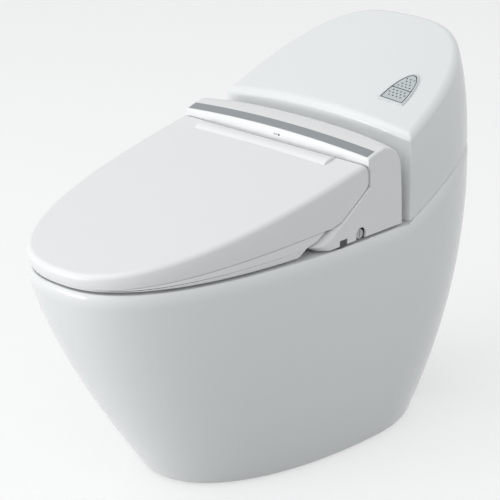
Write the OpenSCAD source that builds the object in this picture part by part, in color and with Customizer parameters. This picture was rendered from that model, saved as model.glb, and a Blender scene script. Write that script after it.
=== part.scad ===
/* [Ceramic body] */
// Widest part of the body
body_w = 396; // [388:1:404]
// Width of the foot on the floor
foot_w = 300; // [280:1:320]
// Nose of the rim, measured forward from the outlet centre
nose_reach = 483; // [470:1:500]
// Back of the body, measured behind the outlet centre
back_reach = 293; // [288:1:298]
// Front tip of the foot, measured forward from the outlet centre
foot_front = 290; // [270:1:310]
// Back of the foot, measured behind the outlet centre
foot_back = 219; // [205:1:235]
// Height of the rim and of the deck behind it
rim_h = 366; // [360:1:372]
// Wall thickness of the fired clay
clay = 12; // [10:1:14]
// Bore of the waste outlet and of the trap
waste_d = 54; // [50:1:58]
// Centre distance of the two floor bolts
floor_bolt_span = 210; // [190:1:220]

/* [Tank] */
// Front face of the tank, measured behind the outlet centre
tank_front = 45; // [43:1:48]
// Height of the tank cover's front face
tank_face_h = 134; // [128:1:140]
// Slope of the cover's top and of the parting plane, in degrees
tank_slope = 25.2; // [23.5:0.1:26]
// Rise of the cover's top in its middle
tank_crown = 17; // [12:1:20]
// Wall thickness of the cover
cover_wall = 6; // [5:0.5:8]
// Height of the tank floor
tank_floor = 216; // [212:1:222]

/* [Bidet unit] */
// Width across the unit's two sides
unit_w = 378; // [374:1:382]
// Height of the unit's rear top edge above the deck
unit_h = 131; // [127:1:135]
// Rise of the unit's top in its middle
unit_crown = 8; // [5:0.5:10]
// Wall thickness of the unit's shell
unit_wall = 3; // [2.5:0.5:4]
// Travel of the spray wand
wand_travel = 92; // [80:1:96]

/* [Lid and seat] */
// How far the lid's sides stand in from the unit's sides
lid_step = 2; // [1:0.5:3]
// Width of each rear corner of the lid, beside the hinge barrel
lid_corner_w = 53; // [48:1:58]
// Thickness of the lid's shell
lid_wall = 3.5; // [3:0.5:4]
// Height of the lid's top above the deck, at the nose
lid_nose_h = 23; // [21:0.5:26]
// Slope of the lid's top, in degrees
lid_slope = 11.9; // [11:0.1:12.5]
// Radius of the two hinge pins
pin_r = 6; // [5:0.5:6.5]
// Running clearance round the pins
pin_gap = 0.05; // [0.03:0.01:0.08]

/* [Hidden] */
steps = 48;
belly_z = 310;
back_z = 380;
lid_w = unit_w - 2 * lid_step;
foot_r = 9;
rim_in = 9;
rim_drop = 22;
tank_rake = 0.05;

// Radius factor of a superellipse of power n at the angle t
function bulge(t, n) = pow(pow(abs(cos(t)), n) + pow(abs(sin(t)), n), -1 / n);

// One loop: half width w, reach f forward of yf with power nf, reach r behind yr with power nr
function loop_point(t, w, yf, f, nf, yr, r, nr) =
    sin(t) < 0
    ? [w * bulge(t, nf) * cos(t), yf + f * bulge(t, nf) * sin(t)]
    : [w * bulge(t, nr) * cos(t), yr + r * bulge(t, nr) * sin(t)];
function angles() = [for (i = [0 : steps - 1]) (i + 0.5) * 360 / steps];

// Body outline at the height z, drawn in by d
function half_w(z) =
    z < belly_z
    ? body_w / 2 - (body_w - foot_w) / 2 * pow((belly_z - z) / belly_z, 2)
    : body_w / 2 - 62 * pow((z - belly_z) / 320, 3.7);
function back_y(z) =
    z < back_z
    ? back_reach - (back_reach - foot_back) * pow((back_z - z) / back_z, 2)
    : back_reach - 27.5 * pow((z - back_z) / 250, 1.5);
function nose_y(z) =
    -nose_reach + (nose_reach - foot_front) * pow(1 - min(z, rim_h) / rim_h, 1.33);
function share(z) = min(max(z / rim_h, 0), 1);
function front_centre(z) = 38 - 10 * share(z);
function rear_centre(z) = 38 + 22 * share(z);
function front_power(z) = 2.19 + 0.36 * share(z);
function rear_power(z) = 2.05 + 0.57 * share(z) + 0.6 * pow(max(z - rim_h, 0) / 200, 2);
function body_point(t, z, d) = loop_point(
    t, half_w(z) - d,
    front_centre(z), front_centre(z) - nose_y(z) - d, front_power(z),
    rear_centre(z), back_y(z) - rear_centre(z) - d, rear_power(z));

// Tank cover outline: flat front, round back
function tank_face_y(z) = tank_front + tank_rake * (rim_h + tank_face_h - z);
function cover_point(t, z, d) = loop_point(
    t, half_w(z) - d,
    rear_centre(z), rear_centre(z) - tank_face_y(z) - d, 16,
    rear_centre(z), back_y(z) - rear_centre(z) - d, rear_power(z));

// Parting plane between the body and the tank cover, and the cover's crowned top
function part_z(y) = rim_h + max(0, y - tank_front) * tan(tank_slope);
function top_z(x, y) =
    rim_h + tank_face_h + (y - tank_front) * tan(tank_slope)
    + tank_crown * (1 - pow(2 * x / body_w, 2));

// A closed skin over loops of equal length. Each end is a fan about the loop's mean, or about
// the depth and height of the point inner.
function mean(loop) = [for (k = [0 : 2]) let(v = [for (p = loop) p[k]]) sum(v) / len(v)];
function sum(v, i = 0) = i == len(v) ? 0 : v[i] + sum(v, i + 1);
module skin(loops, inner = undef) {
    n = len(loops[0]);
    m = len(loops);
    ends = [for (l = [loops[0], loops[m - 1]]) inner == undef ? mean(l) : [l[0].x, inner.y, inner.z]];
    points = concat([for (l = loops) each l], ends);
    faces = concat(
        [for (i = [0 : m - 2], j = [0 : n - 1])
            let(a = i * n + j, b = i * n + (j + 1) % n)
            each [[a, a + n, b + n], [a, b + n, b]]],
        [for (j = [0 : n - 1]) [n * m, j, (j + 1) % n]],
        [for (j = [0 : n - 1]) [n * m + 1, (m - 1) * n + (j + 1) % n, (m - 1) * n + j]]);
    polyhedron(points = points, faces = faces);
}
// The same, but the last loop joins the first
module ring_skin(loops) {
    n = len(loops[0]);
    m = len(loops);
    faces = [for (i = [0 : m - 1], j = [0 : n - 1])
        let(a = i * n + j, b = i * n + (j + 1) % n,
            c = ((i + 1) % m) * n + j, d = ((i + 1) % m) * n + (j + 1) % n)
        each [[a, c, d], [a, d, b]]];
    polyhedron(points = [for (l = loops) each l], faces = faces);
}
// An outline in the Y and Z plane, extruded along X
module across(w, x = 0) {
    translate([x - w / 2, 0, 0])
        rotate([90, 0, 90])
            linear_extrude(height = w)
                children();
}

// Body loop at the share s of the top's height, lowered by q and drawn in by d
function body_level(t, s, d, q, z, k) =
    let(p = body_point(t, z, d))
    k == 0 ? [p.x, p.y, z] : body_level(t, s, d, q, s * part_z(p.y) - q, k - 1);
function body_loop(s, d, q) = [for (t = angles()) body_level(t, s, d, q, 100, 5)];
module body_outside() {
    skin(concat(
        [for (a = [0 : 30 : 90]) body_loop(0, foot_r * (1 - sin(a)), -foot_r * (1 - cos(a)))],
        [for (s = [0.12 : 0.1 : 0.92]) body_loop(s, 0, 0)],
        [for (a = [0 : 22.5 : 90]) body_loop(1, rim_in * (1 - cos(a)), (rim_drop + 0.4) * (1 - sin(a)) - 0.4)],
        [body_loop(1, rim_in + 14, -7)]));
}
foot_ring = 6;
module body_hollow() {
    skin([for (z = [-5, 20, 45, 95, 145, 195, 245, 295, rim_h - clay - 2])
        let(d = z < lug_h ? clay + foot_ring : clay)
        [for (t = angles()) let(p = body_point(t, max(z, 0), d)) [p.x, p.y, z]]]);
}
module above_deck() {
    across(2 * body_w)
        polygon([[-600, rim_h], [tank_front, rim_h], [400, part_z(400)], [400, 900], [-600, 900]]);
}

// Straight round bar between two points
module bar(p, q, r, sides = 24) {
    v = q - p;
    l = norm(v);
    translate(p)
        rotate([0, acos(v.z / l), atan2(v.y, v.x)])
            cylinder(r = r, h = l, $fn = sides);
}
// Round bar along X from x0 to x1, through the point y, z
module cross_bar(x0, x1, y, z, r) {
    translate([min(x0, x1), y, z])
        rotate([0, 90, 0])
            cylinder(r = r, h = abs(x1 - x0), $fn = 48);
}
module tube_x(x0, x1, y, z, r, bore) {
    difference() {
        cross_bar(x0, x1, y, z, r);
        cross_bar(x0 - 1, x1 + 1, y, z, bore);
    }
}
module disc(x, y, z, r, h) {
    translate([x, y, z])
        cylinder(r = r, h = h, $fn = 48);
}
module ring(x, y, z, r, bore, h) {
    difference() {
        disc(x, y, z, r, h);
        disc(x, y, z - 1, bore, h + 2);
    }
}
module block(x, y, z, w, l, h) {
    translate([x - w / 2, y - l / 2, z])
        cube([w, l, h]);
}
module both() {
    children();
    mirror([1, 0, 0])
        children();
}

// Bowl: height, size and shift toward the sump of each level
bowl_w = 121;
bowl_front = -446;
bowl_back = -157;
sump_y = -262;
bowl_levels = [
    [rim_h + 30, 1, 0], [rim_h - 30, 1, 0], [rim_h - 42, 1.08, 0], [rim_h - 70, 1.05, 0.03],
    [250, 0.88, 0.16], [200, 0.66, 0.36], [150, 0.43, 0.62], [112, 0.30, 0.80], [88, 0.18, 0.9]];
function bowl_loop(l, drop, d) = [for (t = angles())
    let(
        mid = (bowl_front + bowl_back) / 2 * (1 - l[2]) + sump_y * l[2],
        half = (bowl_back - bowl_front) / 2 * l[1],
        p = loop_point(t, bowl_w * l[1] + d, mid, half + d, 2.25, mid, half + d, 2.25))
    [p.x, p.y, l[0] - drop]];
module bowl(d) {
    last = len(bowl_levels) - 1;
    skin([for (i = [last : -1 : 0]) bowl_loop(bowl_levels[i], i > 1 ? d : 0, d)]);
}

// Trap: up from the sump, over the weir and down to the outlet
trap_r = waste_d / 2;
horn_r = trap_r + 11;
trap_bend = 50;
trap_rise = 35;
trap_z = 180;
trap_run = 198;
trap_top_y = -trap_bend + trap_bend * cos(90 + trap_rise);
trap_top_z = trap_z + trap_bend * sin(90 + trap_rise);
module trap(r, foot) {
    rotate([90, 0, 90])
        translate([-trap_bend, trap_z, 0])
            rotate_extrude(angle = 90 + trap_rise, $fn = 36)
                translate([trap_bend, 0])
                    circle(r = r, $fn = 24);
    bar([0, trap_top_y - trap_run * cos(trap_rise), trap_top_z - trap_run * sin(trap_rise)],
        [0, trap_top_y + cos(trap_rise), trap_top_z + sin(trap_rise)], r);
    bar([0, 0, foot], [0, 0, trap_z + 1], r);
}

// Flush water: from the valve hole in the tank floor to the bowl
valve_x = 112;
valve_y = 128;
valve_hole_r = 31;
passage_r = 17;
module passage(d) {
    disc(valve_x, valve_y, tank_floor - clay - 38 - d, valve_hole_r + d, 38 + clay + 1);
    bar([valve_x, valve_y, tank_floor - 32], [44, bowl_back - 62, tank_floor - 32], passage_r + d);
}
fill_x = -92;
fill_y = 122;
module tank_cavity() {
    intersection() {
        skin([for (z = [tank_floor, 290, 340, 390, 440, 500])
            [for (t = angles()) let(p = body_point(t, z, clay)) [p.x, p.y, z]]]);
        translate([-300, tank_front + 5 + clay, 0])
            cube([600, 500, 700]);
    }
}
lug_h = 20;
module floor_lugs() {
    both() {
        disc(floor_bolt_span / 2, 40, 0, 20, lug_h);
        translate([floor_bolt_span / 2, 20, 0])
            cube([foot_w / 2 - clay + 1.5 - floor_bolt_span / 2, 40, lug_h]);
    }
}
module body_form() {
    difference() {
        body_outside();
        above_deck();
        difference() {
            body_hollow();
            bowl(clay - 1);
            trap(horn_r, 0);
            passage(10);
            floor_lugs();
            translate([-300, tank_front + 5, tank_floor - clay])
                cube([600, 500, 400]);
        }
        bowl(0);
        trap(trap_r - 0.4, -1);
        passage(0);
        tank_cavity();
        translate([-95, 150, -1])
            cube([190, 300, 172]);
    }
}
seat_bolt_x = 70;
seat_bolt_y = -8;
module ceramic_body() {
    color([0.92, 0.93, 0.93])
        difference() {
            resize([body_w, 0, 0])
                body_form();
            disc(0, 0, -1, trap_r, trap_z + 1);
            both()
                disc(seat_bolt_x, seat_bolt_y, rim_h - 40, 7, 60);
            both()
                disc(floor_bolt_span / 2, 40, -1, 6, lug_h + 2);
            disc(fill_x, fill_y, tank_floor - clay - 5, 14, clay + 10);
        }
}
module outlet_gasket() {
    color([0.25, 0.26, 0.27])
        ring(0, 0, 0.3, horn_r + 12, horn_r, 14);
}

// Tank cover
cover_r = 10;
cover_gap = 1;
function cover_level(t, s, d, q, z, k) =
    let(p = cover_point(t, z, d), low = part_z(p.y) + cover_gap, high = top_z(p.x, p.y))
    k == 0 ? [p.x, p.y, z] : cover_level(t, s, d, q, low + s * (high - low) - q, k - 1);
function cover_loop(s, d, q) = [for (t = angles()) cover_level(t, s, d, q, 480, 6)];
// Loop of the cover's top, shrunk towards the middle by the factor f
cap_y = 165;
function cover_cap(f, d, q) = [for (p = cover_loop(1, d, q))
    let(x = p.x * f, y = cap_y + (p.y - cap_y) * f)
    [x, y, top_z(x, y) - q]];
module cover_solid(d, r, levels, turns, foot) {
    skin(concat(
        [cover_loop(0, d, foot)],
        [for (i = [1 : levels - 1]) cover_loop(i / levels, d, 0)],
        [for (i = [0 : turns]) let(a = 90 * i / turns) cover_loop(1, d + r * (1 - cos(a)), d + r * (1 - sin(a)))],
        [for (f = [0.8, 0.55, 0.3]) cover_cap(f, d + r, d)]));
}
// Everything under the cover's sloped lower edge
module below_cover() {
    start = tank_front - 60;
    drop = 60 * tan(tank_slope);
    across(2 * body_w)
        polygon([[start, rim_h + cover_gap - drop], [400, part_z(400) + cover_gap], [400, 0], [start, 0]]);
}
button_x = 115;
button_y = 117;
button_z = top_z(button_x, button_y);
button_tilt = atan(8 * tank_crown * button_x / pow(body_w, 2));
module at_buttons() {
    translate([button_x, button_y, button_z])
        rotate([tank_slope, 0, 0])
            rotate([0, button_tilt, 0])
                children();
}
// Half ellipse with a flat front edge: half width w, length l, from the front edge y0
module shield(w, l, y0) {
    polygon([for (a = [0 : 7.5 : 180]) [w * cos(a), y0 + l * sin(a)]]);
}
bezel_w = 24;
bezel_l = 69;
bezel_y = -33;
well_inset = 3.5;
split_y = -2;
module tank_cover() {
    color([0.92, 0.93, 0.93])
        resize([0, 0, 0])
            difference() {
                cover_solid(0, cover_r, 7, 5, 12);
                cover_solid(cover_wall, cover_r - cover_wall, 3, 2, 16);
                below_cover();
                at_buttons()
                    translate([0, 0, -30])
                        linear_extrude(height = 60)
                            shield(bezel_w - 1.5, bezel_l - 3, bezel_y + 1.5);
            }
}
module flush_bezel() {
    color([0.80, 0.82, 0.83])
        at_buttons()
            difference() {
                union() {
                    translate([0, 0, 0.1])
                        linear_extrude(height = 2.2)
                            shield(bezel_w, bezel_l, bezel_y);
                    translate([0, 0, -14])
                        linear_extrude(height = 15)
                            shield(bezel_w - 1.5, bezel_l - 3, bezel_y + 1.5);
                }
                translate([0, 0, -11])
                    linear_extrude(height = 30)
                        shield(bezel_w - well_inset, bezel_l - 2 * well_inset, bezel_y + well_inset);
                for (y = [split_y - 16, split_y + 14])
                    translate([0, y, -20])
                        cylinder(r = 3.3, h = 20, $fn = 32);
            }
}
// One flush button: the shield between two lines across it, with its stem
module flush_button(low, high, stem_y) {
    intersection() {
        translate([0, 0, -1.5])
            linear_extrude(height = 4.5)
                shield(bezel_w - well_inset - 0.4, bezel_l - 2 * well_inset - 0.8, bezel_y + well_inset + 0.4);
        translate([-30, low, -10])
            cube([60, high - low, 20]);
    }
    translate([0, stem_y, -34])
        cylinder(r = 3, h = 33, $fn = 32);
}
module full_flush_button() {
    color([0.68, 0.71, 0.72])
        at_buttons()
            flush_button(-50, split_y - 0.3, split_y - 16);
}
module half_flush_button() {
    color([0.68, 0.71, 0.72])
        at_buttons()
            flush_button(split_y + 0.3, 50, split_y + 14);
}
module flush_actuator() {
    color([0.30, 0.45, 0.60])
        difference() {
            union() {
                at_buttons()
                    translate([-14, split_y - 26, -52])
                        cube([28, 50, 24]);
                bar([valve_x, valve_y - 17, tank_floor + tower_h + 5],
                    [valve_x, valve_y - 17, button_z - 40], 3.4);
            }
            at_buttons()
                for (y = [split_y - 16, split_y + 14])
                    translate([0, y, -42])
                        cylinder(r = 3.05, h = 20, $fn = 32);
        }
}

// Flush valve
tower_h = 160;
module flush_valve_gasket() {
    color([0.15, 0.15, 0.16])
        ring(valve_x, valve_y, tank_floor, valve_hole_r + 9, valve_hole_r - 1, 3);
}
module flush_valve_tower() {
    color([0.86, 0.87, 0.88])
        difference() {
            union() {
                disc(valve_x, valve_y, tank_floor + 3, valve_hole_r + 9, 4);
                disc(valve_x, valve_y, tank_floor - clay, valve_hole_r - 1, clay + 4);
                disc(valve_x, valve_y, tank_floor + 7, 36, 90);
                ring(valve_x, valve_y, tank_floor + tower_h, 20, 13.5, 5);
                for (a = [45, 225])
                    translate([valve_x, valve_y, tank_floor + 7])
                        rotate([0, 0, a]) {
                            translate([34.5, 0, 0])
                                cylinder(r = 4, h = tower_h - 2, $fn = 24);
                            translate([18, -4, tower_h - 7])
                                cube([17, 8, 5]);
                        }
            }
            disc(valve_x, valve_y, tank_floor - clay - 1, 24, clay + 9);
            disc(valve_x, valve_y, tank_floor + 7, 33, 91);
            for (a = [0, 90])
                translate([valve_x, valve_y, tank_floor + 22])
                    rotate([0, 0, a])
                        translate([-50, -13, 0])
                            cube([100, 26, 60]);
        }
}
module flush_valve_tube() {
    color([0.30, 0.45, 0.60])
        difference() {
            union() {
                disc(valve_x, valve_y, tank_floor + 10.3, 13, tower_h - 3);
                disc(valve_x, valve_y, tank_floor + 10.3, 30, 3);
            }
            disc(valve_x, valve_y, tank_floor, 11, tower_h + 40);
        }
}
module flush_valve_seal() {
    color([0.75, 0.20, 0.18])
        ring(valve_x, valve_y, tank_floor + 7.3, 30, 18, 3);
}

// Fill valve: a lower end for the supply hose, then a thicker neck for washer and nut
cap_z = tank_floor + 134;
shank_r = 10.3;
shank_l = 24;
neck_r = 10.6;
module fill_valve() {
    color([0.88, 0.89, 0.90])
        difference() {
            union() {
                disc(fill_x, fill_y, tank_floor + 3, 22, 4);
                disc(fill_x, fill_y, tank_floor - clay - 40, shank_r, shank_l + 1);
                disc(fill_x, fill_y, tank_floor - clay - 40 + shank_l, neck_r, clay + 44 - shank_l);
                disc(fill_x, fill_y, tank_floor + 7, 11, cap_z - tank_floor - 7);
            }
            disc(fill_x, fill_y, tank_floor - clay - 41, 6, 150);
        }
}
module fill_valve_washer() {
    color([0.15, 0.15, 0.16])
        ring(fill_x, fill_y, tank_floor, 22, neck_r, 3);
}
module fill_valve_nut() {
    color([0.88, 0.89, 0.90])
        difference() {
            translate([fill_x, fill_y, tank_floor - clay - 12])
                cylinder(r = 21, h = 12, $fn = 6);
            disc(fill_x, fill_y, tank_floor - clay - 13, neck_r, 14);
        }
}
module fill_valve_cap() {
    color([0.30, 0.45, 0.60])
        union() {
            disc(fill_x, fill_y, cap_z, 24, 18);
            bar([fill_x + 20, fill_y, cap_z + 9], [fill_x + 34, fill_y, cap_z + 9], 4);
        }
}
float_z = tank_floor + 74;
float_h = 50;
module float_cup() {
    color([0.20, 0.21, 0.22])
        difference() {
            disc(fill_x, fill_y, float_z, 32, float_h);
            disc(fill_x, fill_y, float_z - 1, 11.6, float_h + 10);
            ring(fill_x, fill_y, float_z - 5, 29, 14.5, float_h - 2);
        }
}
refill_path = [
    [fill_x + 34, fill_y, cap_z + 9], [fill_x + 48, fill_y, cap_z + 9],
    [fill_x + 64, fill_y - 4, cap_z + 28], [fill_x + 80, fill_y - 8, cap_z + 50],
    [valve_x - 26, valve_y, cap_z + 76], [valve_x - 6, valve_y, cap_z + 68],
    [valve_x, valve_y, cap_z + 54], [valve_x, valve_y, cap_z - 10]];
refill_r = 4;
refill_wall = 1.2;
// Ring of points round a path's point i, square to the path there
function unit(v) = v / norm(v);
function path_ring(path, i, r, sides) =
    let(
        last = len(path) - 1,
        t = unit(unit(path[min(i + 1, last)] - path[max(i - 1, 0)])),
        u = unit(cross(t, [0, 1, 0])),
        v = cross(t, u))
    [for (k = [0 : sides - 1]) path[i] + r * (cos(k * 360 / sides) * u + sin(k * 360 / sides) * v)];
module sweep(path, r, sides, over) {
    last = len(path) - 1;
    longer = concat([path[0] - over * unit(path[1] - path[0])],
        [for (i = [1 : last - 1]) path[i]], [path[last] + over * unit(path[last] - path[last - 1])]);
    skin([for (i = [0 : last]) path_ring(longer, i, r, sides)]);
}
module refill_tube() {
    color([0.85, 0.86, 0.86])
        difference() {
            sweep(refill_path, refill_r, 12, 0);
            sweep(refill_path, refill_r - refill_wall, 12, 1);
        }
}

// Bidet unit: outline at the side, Y and Z with the share of the crown
deck = rim_h;
unit_low = deck + 3;
unit_back = 35;
unit_top = deck + unit_h;
hinge_y = -65;
hinge_z = deck + 95.5;
face_y = -41;
sill = [[face_y, deck + 78], [-98.3, deck + 37], [-127, deck + 29], [-147, deck + 18.5], [-163, deck + 14]];
roll_r = 5;
roll_y = -42;
roll_z = deck + 118.5;
crest_r = 26;
function unit_outline() = concat(
    [[-142, unit_low, 0], [-60, unit_low, 0], [unit_back, unit_low, 0], [unit_back - 3, deck + 60, 0]],
    [for (a = [0 : 15 : 90])
        [unit_back - 6 - crest_r * (1 - cos(a)), unit_top - crest_r * (1 - sin(a)), sin(a)]],
    [[-12, unit_top - 0.8, 1], [-28, unit_top - 3, 1]],
    [for (a = [110 : 20 : 190]) [roll_y + roll_r * cos(a), roll_z + roll_r * sin(a), max(0, sin(a - 10))]],
    [[face_y, deck + 108, 0]],
    [for (p = sill) [p.x, p.y, 0]]);
// Across the unit: ends drawn in a little, front corners rounded in plan
front_corner = 26;
function unit_loop(x, d) =
    let(
        half = unit_w / 2,
        c = 1 - pow(x / half, 2),
        over = max(0, abs(x) - half + front_corner),
        pull = front_corner - sqrt(max(0, pow(front_corner, 2) - pow(over, 2))))
    [for (p = unit_outline())
        let(
            y = p.x < -100 ? p.x + pull * min(1, (-100 - p.x) / 40) : p.x,
            mid_y = -30, mid_z = deck + 60,
            k = 1 - d / 60)
        [x, mid_y + (y - mid_y) * k, mid_z + (p.y + unit_crown * p[2] * c - mid_z) * k]];
// A point of the side from which the whole outline is seen
unit_middle = [0, unit_back - 29, deck + 54];
module unit_outside() {
    half = unit_w / 2;
    xs = concat([-half, -half + 0.6, -half + 2, -half + 12], [for (i = [-7 : 7]) i * (half - 27) / 7],
        [half - 12, half - 2, half - 0.6, half]);
    skin([for (x = xs) unit_loop(x, max(0, 2 - (half - abs(x))) * (2 - (half - abs(x))) / 2)],
        unit_middle);
}
hump_r = 21;
hump_w = lid_w - 2 * lid_corner_w;
damper_x = hump_w / 2 - 10;
pin_end = lid_w / 2 - 19;
web_x = 36;
module hump(d) {
    cross_bar(-hump_w / 2 + d, hump_w / 2 - d, hinge_y, hinge_z, hump_r - d);
    translate([-hump_w / 2 + d, hinge_y, hinge_z - 0.8 * hump_r + d])
        cube([hump_w - 2 * d, face_y - hinge_y + 3, 1.4 * hump_r - 2 * d]);
}
module stripe_form(lift) {
    half = unit_w / 2;
    xs = [for (i = [-8 : 8]) i * (half - 5) / 8];
    skin([for (x = xs)
        let(c = unit_crown * (1 - pow(x / half, 2)))
        [[x, -44.5, roll_z + roll_r * 0.94 + c - 1.5], [x, -28, unit_top - 3 + c - 1.5],
         [x, -28, unit_top - 3 + c + lift], [x, -44.5, roll_z + roll_r * 0.94 + c + lift]]]);
}
wand_x = 0;
wand_r = 7;
wand_l = wand_travel + 40;
hood_r = 10.6;
wand_tilt = 24;
wand_out_y = -150;
wand_out_z = deck + 12;
module along_wand() {
    translate([wand_x, wand_out_y, wand_out_z])
        rotate([90 + wand_tilt, 0, 0])
            children();
}
plug_y = -60;
plug_z = deck + 11;
plug_r = 7.5;
press_y = -98;
press_w = 17;
press_top = deck + 12.7;
press_travel = 3;
floor_front = -134;
guide_wall = 3;
guide_x = unit_w / 2 - 15.5;
module unit_hollow() {
    w = unit_wall;
    half = unit_w / 2;
    difference() {
        across(unit_w - 2 * w)
            union() {
                offset(delta = -w)
                    polygon([for (p = unit_outline()) [p.x, p.y]]);
                translate([floor_front, unit_low - 5])
                    square([unit_back - w - floor_front, 5 + 2 * w]);
            }
        both()
            translate([half - front_corner - w, -200, 0])
                cube([front_corner + w, 82, 500]);
        translate([guide_x - guide_wall, press_y - press_w / 2 - guide_wall, 0])
            cube([40, press_w + 2 * guide_wall, press_top + guide_wall]);
        both()
            tube_x(hump_w / 2 - 6, hump_w / 2, hinge_y, hinge_z, 16, 5);
    }
}
damper_r = 10.5;
fit_gap = 0.1;
inlet_y = 6;
inlet_z = deck + 24;
inlet_r = 8;
gland_y = -22;
gland_z = deck + 20;
gland_r = 5.5;
module unit_shell() {
    difference() {
        union() {
            unit_outside();
            hump(0);
            along_wand()
                translate([0, 0, -100])
                    cylinder(r = hood_r, h = 96, $fn = 32);
        }
        unit_hollow();
        difference() {
            hump(unit_wall);
            both()
                translate([hump_w / 2 - 8, hinge_y - 40, hinge_z - 40])
                    cube([10, 80, 80]);
            both()
                translate([web_x, hinge_y - 40, hinge_z - 40])
                    cube([4, 80, 80]);
        }
        stripe_form(3);
        block(0, -100, deck - 10, 600, 300, 13);
        lens_seat(5.5, 8, 3);
        lens_seat(12.5, 3, 3);
    }
}
module unit_cover() {
    half = unit_w / 2;
    color([0.93, 0.94, 0.94])
        resize([unit_w, 0, 0])
            difference() {
                unit_shell();
                cross_bar(-hump_w / 2 - 1, hump_w / 2 + 1, hinge_y, hinge_z, pin_r + fit_gap);
                cross_bar(-damper_x, damper_x, hinge_y, hinge_z, damper_r + fit_gap);
                along_wand()
                    translate([0, 0, -170])
                        cylinder(r = wand_r + 2 + fit_gap, h = 200, $fn = 32);
                cross_bar(half - 12, half + 5, plug_y, plug_z, plug_r + 3);
                translate([half - 12, plug_y - plug_r - 3, unit_low - 5])
                    cube([20, 2 * plug_r + 6, plug_z - unit_low + 5]);
                cross_bar(-half - 1, -half + 6, inlet_y, inlet_z, inlet_r + fit_gap);
                cross_bar(-half - 1, -half + 6, gland_y, gland_z, gland_r + fit_gap);
                translate([guide_x, press_y - press_w / 2, unit_low - 5])
                    cube([40, press_w, press_top - unit_low + 5]);
            }
}

base_h = 3;
base_top = unit_low + base_h;
base_half = unit_w / 2 - 39;
plug_block_x = unit_w / 2 - 35;
bay_in = web_x + 9;
bay_out = unit_w / 2 - 24;
module unit_base() {
    inner = unit_back - unit_wall - 0.3;
    color([0.80, 0.81, 0.82])
        difference() {
            union() {
                translate([-base_half, floor_front + 0.3, unit_low])
                    cube([2 * base_half, inner - floor_front - 0.3, base_h]);
                block(plug_block_x, plug_y, unit_low, 12, 24, 22);
                translate([-unit_w / 2 + unit_wall + 0.3, -45, unit_low])
                    cube([unit_w - 2 * unit_wall - 0.6, inner + 45, base_h]);
                both()
                    block(web_x, -14, base_top, 4, 60, 30);
            }
            both()
                disc(seat_bolt_x, seat_bolt_y, unit_low - 1, 12, 10);
            cross_bar(plug_block_x - 14, plug_block_x + 16, plug_y, plug_z, 8);
        }
}
module stripe_panel() {
    color([0.66, 0.67, 0.68])
        stripe_form(0.2);
}
lens_z = deck + 119.8;
module lens_seat(x, w, proud) {
    translate([x - w / 2, roll_y - roll_r - proud, lens_z])
        cube([w, proud + 1, 2.8]);
}
module indicator_window() {
    color([0.80, 0.82, 0.83])
        lens_seat(5.5, 8, 0.25);
}
module indicator_lamp() {
    color([0.30, 0.33, 0.35])
        lens_seat(12.5, 3, 0.25);
}
module mount_plate() {
    color([0.78, 0.79, 0.80])
        difference() {
            block(0, seat_bolt_y, deck, 2 * seat_bolt_x + 50, 46, 2.7);
            both()
                disc(seat_bolt_x, seat_bolt_y, deck - 1, 4.2, 6);
        }
}
module mount_bolts() {
    color([0.75, 0.76, 0.78])
        both()
            union() {
                disc(seat_bolt_x, seat_bolt_y, deck - 62, 4, 66);
                disc(seat_bolt_x, seat_bolt_y, deck + 2.7, 8, 3.2);
            }
}
module mount_nuts() {
    color([0.88, 0.89, 0.90])
        both()
            ring(seat_bolt_x, seat_bolt_y, deck - clay - 2 - 14, 15, 4, 14);
}
module heater_tank() {
    color([0.55, 0.57, 0.60])
        block(-(bay_in + bay_out) / 2, -14, base_top, bay_out - bay_in, 50, 55);
}
board_in = bay_in + 3;
board_out = bay_out + 3;
post_h = 31;
module control_board() {
    color([0.10, 0.40, 0.25])
        block((board_in + board_out) / 2, -12, base_top + post_h, board_out - board_in, 54, 1.6);
}
module board_posts() {
    color([0.80, 0.81, 0.82])
        for (x = [board_in + 8, board_out - 8], y = [-32, 8])
            disc(x, y, base_top, 3.5, post_h);
}
module wand_sleeve() {
    color([0.84, 0.85, 0.86])
        along_wand()
            difference() {
                translate([0, 0, -wand_l - 2])
                    cylinder(r = wand_r + 2, h = wand_l - 20, $fn = 40);
                translate([0, 0, -wand_l - 4])
                    cylinder(r = wand_r + 0.3, h = wand_l - 12, $fn = 40);
            }
}
tip_l = 22;
module spray_wand() {
    color([0.88, 0.89, 0.90])
        along_wand()
            difference() {
                translate([0, 0, -wand_l])
                    cylinder(r = wand_r, h = wand_l - 7 - tip_l, $fn = 40);
                translate([0, 0, -wand_l - 1])
                    cylinder(r = 4, h = wand_l + 8, $fn = 24);
            }
}
module nozzle_tip() {
    color([0.94, 0.95, 0.95])
        along_wand()
            difference() {
                union() {
                    translate([0, 0, -7 - tip_l])
                        cylinder(r = wand_r, h = tip_l - 5, $fn = 40);
                    translate([0, 0, -12])
                        sphere(r = wand_r, $fn = 40);
                }
                for (z = [-14, -21])
                    translate([0, 0, z])
                        rotate([90, 0, 0])
                            cylinder(r = 1.2, h = 20, $fn = 24);
                translate([0, 0, -10 - tip_l])
                    cylinder(r = 4, h = tip_l, $fn = 24);
            }
}
module left_damper() {
    color([0.35, 0.37, 0.40])
        union() {
            cross_bar(-damper_x, -web_x, hinge_y, hinge_z, damper_r);
            cross_bar(-pin_end, -damper_x, hinge_y, hinge_z, pin_r);
        }
}
module right_damper() {
    color([0.35, 0.37, 0.40])
        union() {
            cross_bar(web_x, damper_x, hinge_y, hinge_z, damper_r);
            cross_bar(damper_x, pin_end, hinge_y, hinge_z, pin_r);
        }
}
module release_button() {
    color([0.30, 0.32, 0.34])
        translate([guide_x + press_travel + 0.5, press_y - press_w / 2 + 0.4, deck + 0.8])
            cube([10.5, press_w - 0.8, press_top - deck - 1.2]);
}
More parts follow.
